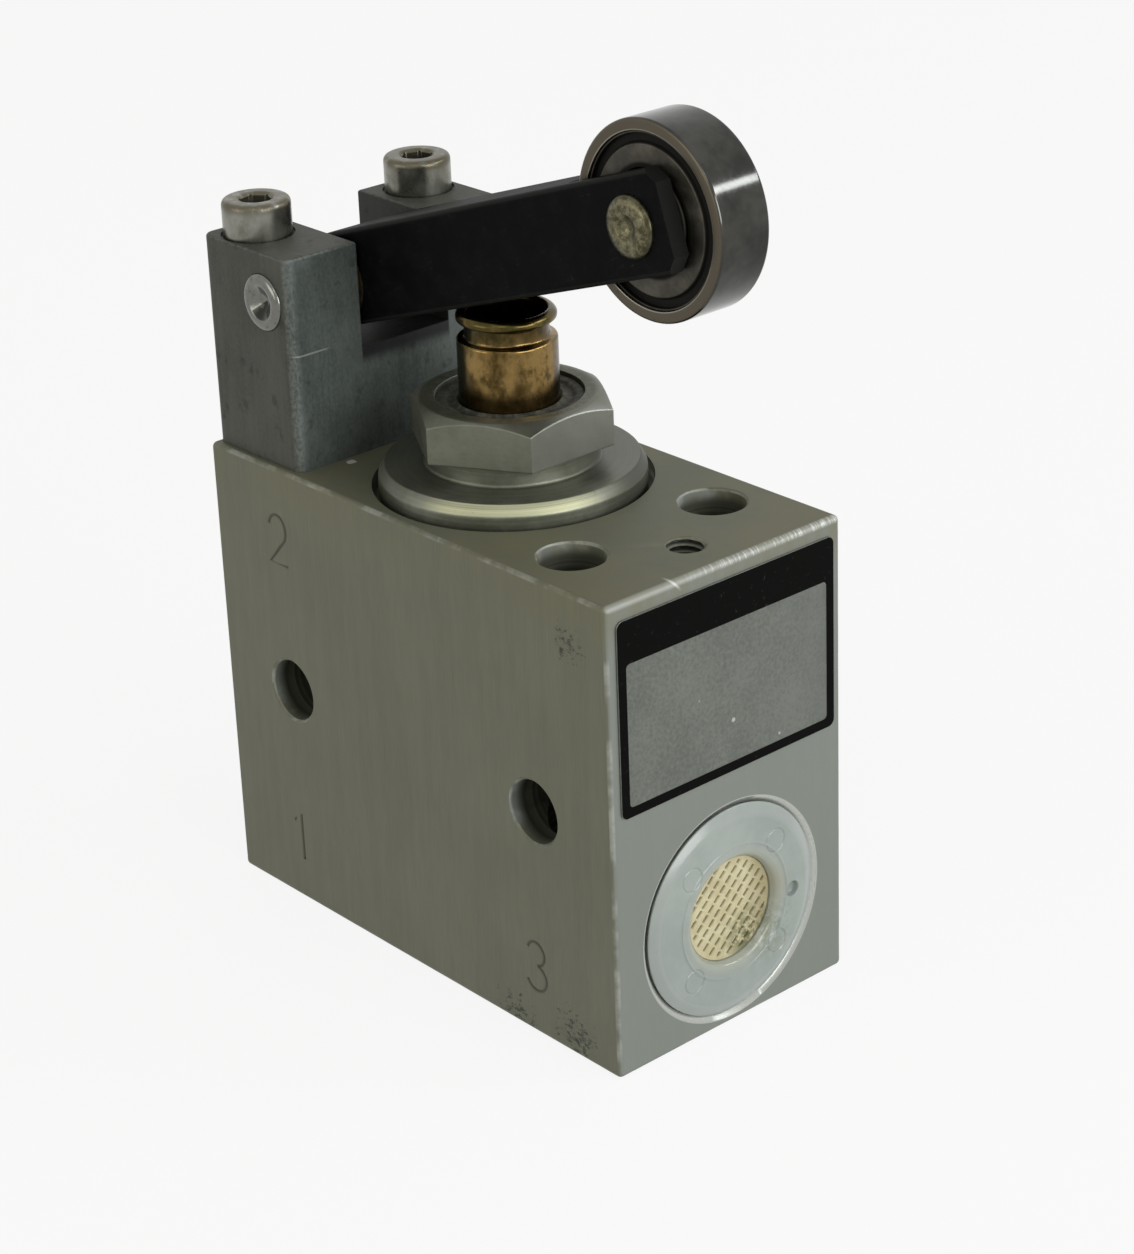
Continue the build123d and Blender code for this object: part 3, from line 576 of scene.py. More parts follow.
def bearingSteel():
    p = Paint("bearingSteel", Metallic=1.0)
    across = p.noise((0.15, 3.0, 0.15), 4, 0.6)
    smudge = p.noise((0.25, 0.25, 0.25), 4, 0.65)
    base = p.mix(p.ease(smudge, 0.30, 0.75), (0.040, 0.040, 0.038), (0.074, 0.073, 0.066))
    # browner on the ring's flat sides, with a painted highlight along their inner edge
    reach = p.distance(p.x - rollerAt[0], p.z - rollerAt[2])
    flat = p.ease(abs(p.ny), 0.6, 0.9)
    base = p.mix(flat * 0.9, base, (0.092, 0.078, 0.056))
    inner = p.ease(reach, 8.50, 8.36) * p.ease(abs(p.y), 2.7, 2.9)
    base = p.mix(inner * 0.8, base, (0.32, 0.30, 0.25))
    # small stains low on the tread
    stain = p.ease(p.noise((0.7, 0.5, 0.7), 4, 0.75), 0.58, 0.68) * p.ease(p.z, 70.0, 84.0, 1.0, 0.0)
    base = p.mix(stain * 0.35, base, (0.020, 0.020, 0.017))
    # painted shade round the bore, behind the end of the lever, where it is also rougher
    hubShade = p.ease(reach, 5.3, 5.0)
    p.colour(p.mix(hubShade * 0.9, base, (0.008, 0.008, 0.006)))
    p.drive("Roughness", 0.10 + 0.03 * p.ease(smudge, 0.3, 0.75) + 0.03 * across + 0.20 * flat + 0.45 * hubShade)
    return p.bump(across, 0.0015)


def shieldSteel():
    p = Paint("shieldSteel", Metallic=0.9)
    smudge = p.noise((0.5, 0.5, 0.5), 4, 0.65)
    base = p.mix(p.ease(smudge, 0.35, 0.7), (0.045, 0.041, 0.032), (0.085, 0.079, 0.064))
    # painted shade in the crimp's groove and behind the end of the lever
    reach = p.distance(p.x - rollerAt[0], p.z - rollerAt[2])
    crimp = p.ease(reach, 7.02, 7.18) * p.ease(reach, 8.22, 8.06) + p.ease(reach, 5.6, 5.2)
    base = p.mix(crimp * 0.92, base, (0.006, 0.006, 0.005))
    p.colour(base)
    p.drive("Roughness", 0.34 + 0.22 * smudge + 0.25 * crimp)
    return p.bump(smudge, 0.01)


def screwSteel():
    p = Paint("screwSteel", Metallic=0.9)
    stain = p.noise((0.9, 0.9, 0.5), 4, 0.7)
    broad = p.noise((0.30, 0.30, 0.30), 3, 0.6)
    base = p.mix(p.ease(broad * 0.7 + stain * 0.3, 0.36, 0.62), (0.135, 0.132, 0.106), (0.245, 0.243, 0.212))
    upper = p.ease(p.z, screwTop - 1.3, screwTop - 0.3) * p.ease(p.z, screwTop + 0.1, screwTop - 0.15, 0.55, 1.0)
    brown = upper * p.ease(stain, 0.34, 0.52)
    base = p.mix(brown * 0.8, base, (0.080, 0.066, 0.036))
    p.colour(base)
    p.drive("Roughness", 0.19 + 0.20 * broad + 0.10 * brown)
    return p.bump(stain * 0.5 + broad * 0.5, 0.010)


def pinSteel():
    p = Paint("pinSteel", Metallic=0.85)
    stain = p.noise((1.5, 1.5, 1.5), 4, 0.75)
    # the roller's pin is stained yellow brown, the pivot is cleaner
    old = p.ease(p.x, -5.0, 10.0)
    paler = p.mix(p.ease(stain, 0.50, 0.74), (0.165, 0.165, 0.150), (0.070, 0.068, 0.055))
    brown = p.mix(p.ease(stain, 0.35, 0.65), (0.050, 0.044, 0.022), (0.165, 0.152, 0.090))
    # dark seats round both heads
    reach = p.distance(p.x - rollerAt[0], p.z - rollerAt[2])
    seat = p.ease(reach, 2.45, 2.85)
    brown = p.mix(seat * 0.55, brown, (0.030, 0.027, 0.014))
    # painted shade in the pivot's centre mark, on its lower part and its right half
    across, up = p.x - pivotAt[0], p.z - pivotAt[2]
    hollow = p.ease(p.distance(across, up), 1.86, 1.70)
    markShade = hollow * p.ease(-1 * up - abs(across + 0.2) * 0.9, -0.10, 0.12)
    paler = p.mix(markShade * 0.9, paler, (0.012, 0.012, 0.009))
    paler = p.mix(hollow * p.ease(across, 0.1, 0.4) * 0.6, paler, (0.050, 0.050, 0.042))
    base = p.mix(old, paler, brown)
    p.colour(base)
    p.drive("Roughness", 0.12 + 0.12 * stain + 0.16 * old)
    return p.bump(stain, 0.006)


def plainMetal(name, dark, light, roughness, metallic=0.9):
    p = Paint(name, Metallic=metallic)
    cloud = p.noise((0.9, 0.9, 0.9), 4, 0.65)
    p.colour(p.mix(p.ease(cloud, 0.35, 0.7), dark, light))
    p.drive("Roughness", roughness + 0.15 * cloud)
    return p.bump(cloud, 0.01)


def nitrile():
    p = Paint("nitrile", IOR=1.5)
    p.shader.inputs["Specular IOR Level"].default_value = 0.3
    dust = p.noise((1.2, 1.2, 1.2), 4, 0.65)
    p.colour(p.mix(p.ease(dust, 0.40, 0.66), (0.016, 0.016, 0.012), (0.075, 0.074, 0.052)))
    p.drive("Roughness", 0.55 + 0.2 * dust)
    return p.bump(dust, 0.02)


def plugPlastic():
    p = Paint("plugPlastic", IOR=1.46)
    cloud = p.noise((0.18, 0.18, 0.18), 3, 0.6)
    fine = p.noise((7, 7, 7), 2, 0.6)
    middle = p.distance(p.y, p.z - 12.5)
    base = p.mix(p.ease(cloud, 0.3, 0.7), (0.255, 0.285, 0.268), (0.305, 0.335, 0.315))
    # round the window the cream filter shows through the plastic, with the light through it painted in as a pale glow;
    # the thin rim is clearer and paler
    glow = p.ease(middle, 5.2, 7.2, 1.0, 0.0)
    base = p.mix(glow * 0.6, base, (0.375, 0.375, 0.285))
    rim = p.ease(middle, 9.5, 10.1)
    base = p.mix(rim * 0.35, base, (0.34, 0.36, 0.345))
    grease = p.near((blockFront, 4.6, 8.6), 4.6) * p.ease(p.noise((0.9, 0.9, 0.9), 4, 0.7), 0.38, 0.58)
    base = p.mix(grease * 0.6, base, (0.12, 0.135, 0.070))
    shade = p.near((blockFront, 5.2, 13.5), 3.2)
    base = p.mix(shade * 0.45, base, (0.25, 0.215, 0.13))
    p.colour(base)
    p.drive("Roughness", 0.16 + 0.10 * fine)
    return p.bump(fine * 0.2 + cloud, 0.012)


def filterCream():
    p = Paint("filterCream", IOR=1.4)
    cloud = p.noise((0.6, 0.6, 0.6), 4, 0.65)
    fine = p.noise((9, 9, 9), 3, 0.7)
    base = p.mix(p.ease(cloud, 0.3, 0.7), (0.46, 0.405, 0.245), (0.56, 0.51, 0.335))
    # painted shade at the bottoms of the slots
    sunkShade = p.ease(p.x, meshFace - 0.06, meshFace - 0.30)
    base = p.mix(sunkShade * 0.75, base, (0.16, 0.125, 0.060))
    brown = p.ease(p.y, 1.8, 4.8)
    base = p.mix(brown * 0.6, base, (0.25, 0.205, 0.110))
    grease = p.near((blockFront, 2.4, 8.6), 4.6) * p.ease(p.noise((1.1, 1.1, 1.1), 4, 0.75), 0.38, 0.55)
    base = p.mix(grease * 0.9, base, (0.075, 0.085, 0.030))
    p.colour(base)
    p.drive("Roughness", 0.75 + 0.15 * fine)
    return p.bump(fine * 0.5 + cloud * 0.5, 0.06)


def felt():
    p = Paint("felt")
    hair = p.noise((5, 5, 5), 4, 0.8)
    p.colour(p.mix(hair, (0.10, 0.085, 0.045), (0.26, 0.22, 0.13)))
    p.drive("Roughness", 0.85 + 0.1 * hair)
    return p.bump(hair, 0.15)


def labelFoil():
    p = Paint("labelFoil", Metallic=0.35)
    mottle = p.noise((2.4, 2.4, 2.4), 4, 0.7)
    cloud = p.noise((0.15, 0.15, 0.15), 3, 0.6)
    tone = p.ease(mottle * 0.7 + cloud * 0.4, 0.38, 0.70)
    base = p.mix(tone, (0.090, 0.098, 0.084), (0.142, 0.152, 0.134))
    fleck = p.near((blockFront, 0.4, 33.0), 0.5) + p.near((blockFront, 6.5, 29.4), 0.4) + p.near((blockFront, -4.0, 36.5), 0.35)
    base = p.mix(p.ease(fleck, 0.2, 0.5) * 0.8, base, (0.45, 0.46, 0.42))
    p.colour(base)
    p.drive("Roughness", 0.38 + 0.16 * mottle)
    return p.bump(mottle, 0.008)


def labelInk():
    p = Paint("labelInk", IOR=1.5)
    p.shader.inputs["Specular IOR Level"].default_value = 0.03
    rub = p.noise((1.6, 1.6, 1.6), 4, 0.75)
    p.colour(p.mix(p.ease(rub, 0.62, 0.74), (0.0016, 0.0016, 0.0014), (0.035, 0.035, 0.03)))
    p.drive("Roughness", 0.34 + 0.2 * rub)
    return p.bump(rub, 0.004)


paints = {
    "anodised_block": anodisedBlock(), "label_foil": labelFoil(), "turned_aluminium": turnedAluminium(),
    "nitrile": nitrile(), "zinc_casting": zincCasting(), "steel_screw": screwSteel(), "steel_pin": pinSteel(),
    "brass_cage": plainMetal("brassCage", (0.30, 0.22, 0.09), (0.52, 0.40, 0.19), 0.28),
    "plug_plastic": plugPlastic(), "filter_cream": filterCream(), "felt": felt(), "black_oxide": blackOxide(),
    "bronze_bush": plainMetal("bronzeBush", (0.16, 0.11, 0.06), (0.34, 0.24, 0.13), 0.38),
    "bearing_steel": bearingSteel(), "shield_steel": shieldSteel(), "bronze": bronze(),
    "cage_steel": plainMetal("cageSteel", (0.22, 0.215, 0.19), (0.36, 0.355, 0.33), 0.35),
    "spring_steel": plainMetal("springSteel", (0.14, 0.14, 0.14), (0.28, 0.28, 0.28), 0.3),
}
slotOf = {s["node"]: s["material_slot"] for s in frame["record"]["subparts"]}
for nodeName, part in nodes.items():
    part.data.materials.clear()
    part.data.materials.append(paints[slotOf[nodeName]])
print("materials on", len(nodes), "nodes")


def finished(piece, paint, body, slot, *replaced):
    piece.data.materials.clear()
    piece.data.materials.append(paint)
    standFor(piece, body, slot, *replaced)
    return piece


# camera, lights, floor

cameraView = {"spot": (221.8, -184.17, 165.51), "forward": (-0.6935, 0.6113, -0.3813),
              "right": (0.6706, 0.7411, -0.0317), "focalPixels": 3126.1, "photoWidth": 1134, "photoHeight": 1254,
              "shift": (-0.0263, -0.1013)}


def makeCamera():
    data = bpy.data.cameras.new("camera")
    camera = bpy.data.objects.new("camera", data)
    bpy.context.scene.collection.objects.link(camera)
    forward = Vector(cameraView["forward"]).normalized()
    right = Vector(cameraView["right"])
    right = (right - forward * right.dot(forward)).normalized()
    up = right.cross(forward)
    turn = Matrix((right, up, -forward)).transposed().to_4x4()
    camera.matrix_world = Matrix.Translation(Vector(cameraView["spot"]) * mm) @ turn
    data.sensor_fit = "VERTICAL"
    data.sensor_height = 36.0
    data.lens = cameraView["focalPixels"] / cameraView["photoHeight"] * 36.0
    data.shift_x, data.shift_y = cameraView["shift"]
    data.clip_start, data.clip_end = 0.01, 20
    bpy.context.scene.camera = camera


def softLamp(name, spot, size, watts, tint):
    data = bpy.data.lights.new(name, "AREA")
    data.shape = "RECTANGLE"
    data.size, data.size_y = size
    data.energy = watts
    data.color = tint
    lamp = bpy.data.objects.new(name, data)
    bpy.context.scene.collection.objects.link(lamp)
    lamp.location = spot
    aim = Vector((0, 0, 0.045)) - Vector(spot)
    lamp.rotation_euler = aim.to_track_quat("-Z", "Y").to_euler()


def makeLight():
    softLamp("key", (0.90, 0.02, 0.30), (0.60, 0.40), 5.0, (0.97, 0.99, 1.0))
    softLamp("fill", (-0.20, -1.00, 0.28), (0.60, 0.40), 1.8, (1.0, 0.99, 0.94))
    softLamp("glint", (0.46, -0.56, 0.68), (0.22, 0.22), 0.65, (1.0, 0.99, 0.90))
    softLamp("strip", (0.62, 0.66, 0.50), (0.50, 0.09), 2.4, (0.93, 0.97, 1.0))
    world = bpy.data.worlds.new("studio")
    bpy.context.scene.world = world
    world.use_nodes = True
    tree = world.node_tree
    backdrop = tree.nodes["Background"]
    rays = tree.nodes.new("ShaderNodeLightPath")
    seen = tree.nodes.new("ShaderNodeMath")
    seen.operation = "MAXIMUM"
    tree.links.new(rays.outputs["Is Camera Ray"], seen.inputs[0])
    both = tree.nodes.new("ShaderNodeMath")
    both.operation = "MAXIMUM"
    tree.links.new(rays.outputs["Is Glossy Ray"], both.inputs[0])
    tree.links.new(rays.outputs["Is Transmission Ray"], both.inputs[1])
    tree.links.new(both.outputs[0], seen.inputs[1])
    tone = tree.nodes.new("ShaderNodeMix")
    tone.data_type = "RGBA"
    tree.links.new(seen.outputs[0], tone.inputs[0])
    tone.inputs[6].default_value = (0.36, 0.36, 0.33, 1)
    tone.inputs[7].default_value = (1.0, 1.0, 0.99, 1)
    tree.links.new(tone.outputs[2], backdrop.inputs["Color"])


def makeFloor():
    mesh = bpy.data.meshes.new("floor")
    reach = 6.0
    mesh.from_pydata([(-reach, -reach, 0), (reach, -reach, 0), (reach, reach, 0), (-reach, reach, 0)], [], [(0, 1, 2, 3)])
    floor = bpy.data.objects.new("floor", mesh)
    bpy.context.scene.collection.objects.link(floor)
    p = Paint("floorPaper", Roughness=0.9)
    p.shader.inputs["Base Color"].default_value = (0.80, 0.80, 0.79, 1)
    rays = p.node("ShaderNodeLightPath")
    seen = p.maths("MAXIMUM", rays.outputs["Is Camera Ray"],
                   p.maths("MAXIMUM", rays.outputs["Is Glossy Ray"], rays.outputs["Is Transmission Ray"]))
    glow = p.node("ShaderNodeEmission", None, {"Color": (1, 1, 1, 1), "Strength": 1.0})
    blend = p.node("ShaderNodeMixShader", None, {0: seen * 0.87, 1: p.shader.outputs[0], 2: glow.outputs[0]})
    p.tree.links.new(blend.outputs[0], p.tree.nodes["Material Output"].inputs["Surface"])
    mesh.materials.append(p.material)
    floor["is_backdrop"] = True


makeCamera()
makeLight()
makeFloor()
bpy.context.scene.view_settings.view_transform = "Standard"
print("camera, lights and floor set")


# block with stamped port numbers


def numeralPath(which):
    # one pen stroke in a box of width 1 and height 1, centred, as lines and arcs
    if which == "1":
        return np.array([(-0.30, 0.28), (0.08, 0.5), (0.08, -0.5)])
    if which == "2":
        turn = np.radians(np.linspace(165, -42, 22))
        bowl = np.stack([0.42 * np.cos(turn), 0.20 + 0.30 * np.sin(turn)], -1)
        return np.concatenate([bowl, [(-0.45, -0.5), (0.46, -0.5)]])
    upper = np.radians(np.linspace(160, -80, 22))
    lower = np.radians(np.linspace(80, -160, 24))
    top = np.stack([0.38 * np.cos(upper), 0.26 + 0.24 * np.sin(upper)], -1)
    bottom = np.stack([0.44 * np.cos(lower), -0.24 + 0.26 * np.sin(lower)], -1)
    return np.concatenate([top, bottom])


def stampTool(name, which, at):
    # wedge carried along the pen stroke: two edges above the face and one below it
    path = numeralPath(which) * (portNumbers["width"], portNumbers["height"]) + at
    run = np.gradient(path, axis=0)
    run /= np.linalg.norm(run, axis=1)[:, None]
    across = np.stack([-run[:, 1], run[:, 0]], -1) * portNumbers["stroke"] / 2
    lift = portNumbers["stroke"] / 2
    left, right = path + across * 1.4, path - across * 1.4
    face = -blockSide
    rows = np.stack([
        np.stack([left[:, 0], np.full(len(path), face - lift * 0.4), left[:, 1]], -1),
        np.stack([path[:, 0], np.full(len(path), face + portNumbers["depth"]), path[:, 1]], -1),
        np.stack([right[:, 0], np.full(len(path), face - lift * 0.4), right[:, 1]], -1),
    ], 1)
    count = len(path)
    faces = gridFaces(count, 3) + [[0, 1, 2], [3 * count - 1, 3 * count - 2, 3 * count - 3]]
    return meshPiece(name, rows.reshape(-1, 3), faces)


threads = {"cover": {"core": 1.65, "root": 2.06, "pitch": 0.7, "length": 8.2, "mouth": 0.35},
           "port": {"core": 5.90, "root": 6.50, "pitch": 1.337, "length": 10.6, "mouth": 0.70}}


def threadLiner(name, thread, place):
    # inner wall: core + depth * tooth(height / pitch - angle / full turn), the tooth a clipped triangle wave;
    # the mouth is a cone, and the outer wall is plain
    rows = int(thread["length"] / thread["pitch"] * 14)
    columns = 120
    level = np.linspace(0, -thread["length"], rows)[:, None]
    turn = np.linspace(0, 1, columns, endpoint=False)[None, :]
    phase = (level / thread["pitch"] - turn) % 1.0
    tooth = np.clip(np.abs(2 * phase - 1) * 1.35 - 0.15, 0, 1)
    inner = thread["core"] + (thread["root"] - thread["core"]) * tooth
    inner = np.maximum(inner, thread["core"] + thread["mouth"] + level)
    outer = np.full((2, columns), thread["root"] + 0.04)
    radii = np.concatenate([inner, outer])
    levels = np.concatenate([level + 0 * turn, outer * 0 - thread["length"], ])
    levels[-1] = 0
    radii[0] = thread["root"]
    return roundPiece(name, radii, levels, place, 40, closed=True)


def tidyFlats(mesh, angle):
    # doubles merged and coplanar faces joined, so that no slivers spoil the shading
    work = bmesh.new()
    work.from_mesh(mesh)
    bmesh.ops.remove_doubles(work, verts=work.verts, dist=4e-7)
    bmesh.ops.dissolve_degenerate(work, edges=work.edges, dist=4e-7)
    bmesh.ops.dissolve_limit(work, angle_limit=math.radians(angle), verts=work.verts, edges=work.edges)
    work.to_mesh(mesh)
    work.free()
    mesh.shade_smooth()


def cutBy(piece, tool):
    cut = piece.modifiers.new("cut", "BOOLEAN")
    cut.object = tool
    cut.operation = "DIFFERENCE"
    cut.solver = "EXACT"
    cut.use_self = True
    mesh = bpy.data.meshes.new_from_object(piece.evaluated_get(bpy.context.evaluated_depsgraph_get()))
    piece.modifiers.clear()
    piece.data = mesh
    bpy.data.objects.remove(tool)


def makeBlock():
    block = smoothCopy("valve_body", "valve_block")
    tidyFlats(block.data, 0.4)
    for which, at in portNumbers["marks"].items():
        cutBy(block, stampTool("stamp", which, at))
    cover = mountNamed("cover_screw_hole")["pos_m"]
    ports = [mountNamed(n)["pos_m"] for n in ("outlet_port", "supply_port")]
    blockRear = bodyLow[0]
    holes = [("coverThread", threads["cover"], Matrix.Translation(Vector((cover[0] / mm, 0, blockTop))))]
    for label, at in zip(("outletThread", "supplyThread"), ports):
        facingBack = Matrix.Translation(Vector((blockRear, 0, at[2] / mm))) @ Matrix.Rotation(math.radians(-90), 4, "Y")
        holes.append((label, threads["port"], facingBack))
    for label, thread, place in holes:
        reach = [(0, 1), (thread["root"] + 0.03, 1), (thread["root"] + 0.03, -thread["length"]), (0, -thread["length"])]
        cutBy(block, turnedSolid("drill", reach, 0, place))
        liner = threadLiner(label, thread, place)
        finished(liner, paints["anodised_block"], "body", "anodised_block", "valve_body")
    tidyFlats(block.data, 0.2)
    block.data.set_sharp_from_angle(angle=math.radians(28))
    flatShading(block)
    finished(block, paints["anodised_block"], "body", "anodised_block", "valve_body")


makeBlock()
print("block stamped and threaded")


# data label: foil with a printed head and border, its field left bare

labelPrint = {"border": 1.05, "head": 4.5, "lift": 0.012, "corner": 0.8, "innerCorner": 0.45}


def roundedBox(width, height, radius, steps=10):
    # outline of a box with round corners, the same count of points for any size
    turn = np.linspace(0, 2 * np.pi, 4 * steps, endpoint=False).reshape(4, steps) + np.pi / 4 / steps
    signs = np.array([(1, 1), (-1, 1), (-1, -1), (1, -1)])[:, None, :]
    middle = signs * (width / 2 - radius, height / 2 - radius)
    return (middle + radius * np.stack([np.cos(turn), np.sin(turn)], -1)).reshape(-1, 2)


def makeLabel():
    low, high = spanOf("data_label")
    width, height = high[1] - low[1], high[2] - low[2]
    at = ((low + high) / 2)[1:]
    foil = roundedBox(width, height, labelPrint["corner"])
    count = len(foil)
    loops = [foil, foil, foil * (1 - 0.06 / 14), foil * 0.0]
    depths = [low[0], high[0] - 0.05, high[0], high[0]]
    rows = [np.concatenate([np.full((count, 1), x), loop + at], 1) for loop, x in zip([foil * 0, *loops], [low[0], *depths])]
    label = meshPiece("label_plate", np.concatenate(rows), gridFaces(len(rows), count), 40)
    finished(label, paints["label_foil"], "body", "label_foil", "data_label")
    edge = labelPrint["border"]
    window = roundedBox(width - 2 * edge, height - edge - labelPrint["head"], labelPrint["innerCorner"])
    window = window + (0, (edge - labelPrint["head"]) / 2)
    outer = roundedBox(width - 0.10, height - 0.10, labelPrint["corner"] - 0.05)
    back, face = high[0] - 0.004, high[0] + labelPrint["lift"]
    rows = [np.concatenate([np.full((count, 1), x), loop + at], 1)
            for loop, x in ((outer, back), (outer, face), (window, face), (window, back), (outer, back))]
    ink = meshPiece("label_print", np.concatenate(rows), gridFaces(len(rows), count), 40)
    finished(ink, labelInk(), "body", "label_foil", "data_label")


makeLabel()
print("label made")


# screwed insert with its hexagon, and the scraper ring in it

insertShape = {"bore": 5.03, "spigot": 10.49, "thread": 11.99, "flangeRise": 2.25, "bevel": 1.1, "bevelIn": 0.65,
               "neck": 8.6, "neckLength": 2.05, "flats": 18.5, "hexHeight": 4.75, "topMargin": 0.35,
               "scraper": 7.4, "scraperDepth": 1.5, "threadStart": 8.5, "recess": 2.0}


def makeInsert():
    shape = insertShape
    low, high = spanOf("top_insert")
    flange = (high[0] - low[0]) / 2
    bottom, hexTop = low[2], high[2]
    hexBottom = hexTop - shape["hexHeight"]
    flangeTop = blockTop + shape["flangeRise"]
    lower = roundedLine([
        (shape["bore"], (bottom + hexTop) / 2), (shape["bore"], bottom), (shape["spigot"], bottom),
        (shape["spigot"], blockTop - shape["threadStart"]), (shape["thread"], blockTop - shape["threadStart"]),
        (shape["thread"], blockTop - shape["recess"]), (flange, blockTop - shape["recess"]),
        (flange, flangeTop - shape["bevel"], 0.22), (flange - shape["bevelIn"], flangeTop, 0.2),
        (shape["neck"], flangeTop, 0.35), (shape["neck"], hexBottom, 0.3), (shape["neck"] + 0.5, hexBottom, 0.3),
    ], 0.15, 5)
    columns = 540
    # hexagon: half the flats over the cosine of the angle off the flat; the top edge
    # falls from the turned cone: height of the corner = top - (radius - face radius) * tan 30 degrees
    sides = hexRadius(shape["flats"], columns)
    face = shape["flats"] / 2 - shape["topMargin"]
    crest = hexTop - (sides - face) * math.tan(math.radians(30))
    even = np.ones(columns)
    ease = 0.07
    rows = [(r * even, z * even) for r, z in lower]
    rows += [(sides - 0.14, hexBottom * even), (sides - 0.04, (hexBottom + 0.04) * even),
             (sides, (hexBottom + 0.16) * even), (sides, (hexBottom + 0.20) * even)]
    rows += [(sides, crest - ease - 0.04), (sides, crest - ease), (sides - 0.03, crest - 0.02), (sides - ease, crest + 0.05)]
    rows += [(face * even + 0.10, (hexTop - 0.05) * even), (face * even - 0.06, hexTop * even)]
    upper = roundedLine([(face - 0.3, hexTop), (shape["scraper"], hexTop, 0.12),
                         (shape["scraper"], hexTop - shape["scraperDepth"]),
                         (shape["bore"], hexTop - shape["scraperDepth"]), (shape["bore"], (bottom + hexTop) / 2 + 0.5)], 0.1)
    rows += [(r * even, z * even) for r, z in upper]
    radii = np.array([r for r, z in rows])
    levels = np.array([z for r, z in rows])
    insert = roundPiece("guide_insert", radii, levels, None, 24, closed=True)
    flatShading(insert)
    finished(insert, paints["turned_aluminium"], "body", "turned_aluminium", "top_insert")
    low, high = spanOf("wiper_ring")
    outer = (high[0] - low[0]) / 2
    inner, base, rim = shape["bore"], low[2], high[2]
    scraper = turnedRing("scraper_ring", [
        (inner, base), (outer, base), (outer, rim, 0.2), (outer - 0.75, rim, 0.3), (outer - 1.25, rim - 0.35, 0.2),
        (inner + 0.55, rim - 0.35, 0.15), (inner + 0.25, rim - 0.02, 0.1), (inner, rim - 0.2, 0.05)], 0.08)
    finished(scraper, paints["nitrile"], "body", "nitrile", "wiper_ring")


makeInsert()
print("insert turned")


# bronze plunger: rim, neck, cup and the flange that stops it

plungerShape = {"radius": 5.0, "cup": 3.9, "cupDepth": 15.0, "rimHeight": 1.05, "neck": 4.2, "neckHeight": 1.8,
                "flangeHeight": 2.4, "stem": 2.51, "stemDepth": 7.0}


def makePlunger():
    shape = plungerShape
    low, high = spanOf("plunger")
    flange, floor, rim = (high[0] - low[0]) / 2, low[2], high[2]
    radius, rimFloor = shape["radius"], high[2] - shape["rimHeight"]
    barrelTop = rimFloor - shape["neckHeight"]
    wall = [
        (0, floor + shape["stemDepth"]), (shape["stem"], floor + shape["stemDepth"]), (shape["stem"], floor),
        (flange, floor, 0.15), (flange, floor + shape["flangeHeight"], 0.15), (radius, floor + shape["flangeHeight"]),
        (radius, barrelTop, 0.30), (shape["neck"], barrelTop + 0.06, 0.32), (shape["neck"], rimFloor - 0.06, 0.32),
        (radius - 0.05, rimFloor, 0.26), (radius, rim - 0.42, 0.36), (radius - 0.40, rim, 0.34),
        (shape["cup"] + 0.22, rim, 0.2), (shape["cup"], rim - 0.35, 0.25), (shape["cup"], rim - shape["cupDepth"], 0.4),
        (0, rim - shape["cupDepth"] - 0.8),
    ]
    cup = turnedSolid("plunger_cup", wall, 0.1)
    flatShading(cup)
    finished(cup, paints["bronze"], "plunger", "bronze", "plunger")


# return spring: a merged copy of the construction spring, fixed to the body with its lower end on the sleeve


def makeSpring():
    spring = smoothCopy("plunger_spring", "return_spring", 40)
    finished(spring, paints["spring_steel"], "body", "spring_steel", "plunger_spring")
    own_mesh(spring)


makePlunger()
makeSpring()
print("plunger turned, spring placed")


# socket head screws and the two pins

screwShape = {"head": 3.5, "headHeight": 4.0, "topEdge": 0.8, "socket": 3.0, "socketDepth": 2.0, "shank": 2.0}
pinShape = {"pivot": {"radius": 2.95, "dome": 0.45, "land": 2.15, "mark": 1.8, "markDepth": 1.25},
            "roller": {"radius": 2.99, "dome": 0.6, "land": 1.6, "mark": 1.3, "markDepth": 0.9}}


def screwAt(name, spot, seat, tip):
    shape = screwShape
    columns = 144
    outside = roundedLine([
        (0, tip), (shape["shank"] - 0.3, tip), (shape["shank"], tip + 0.4), (shape["shank"], seat, 0.05),
        (shape["head"], seat, 0.15), (shape["head"], seat + shape["headHeight"], shape["topEdge"]),
        (1.95, seat + shape["headHeight"], 0.1), (1.72, seat + shape["headHeight"] - 0.14, 0.05),
        (1.6, seat + shape["headHeight"] - 0.3)], 0.08, 7)[:-1]
    even = np.ones(columns)
    hexagon = softMin(hexRadius(shape["socket"], columns, math.radians(spot[2])), np.full(columns, 1.70), 0.03)
    top = seat + shape["headHeight"]
    rows = [(r * even, z * even) for r, z in outside]
    rows += [(hexagon, (top - 0.30) * even), (hexagon, (top - shape["socketDepth"]) * even),
             (0 * even, (top - shape["socketDepth"] - 0.5) * even)]
    place = Matrix.Translation(Vector((spot[0], spot[1], 0)))
    return roundPiece(name, np.array([r for r, z in rows]), np.array([z for r, z in rows]), place, 30)


def makeScrews():
    low, high = spanOf("bracket_screws")
    reach = high[1] - screwShape["head"]
    middle = (low[0] + high[0]) / 2
    for name, y, turn in (("screw_near", -reach, 12.0), ("screw_far", reach, 40.0)):
        screw = screwAt(name, (middle, y, turn), high[2] - screwShape["headHeight"], low[2])
        flatShading(screw)
        finished(screw, paints["steel_screw"], "body", "steel_screw", "bracket_screws")


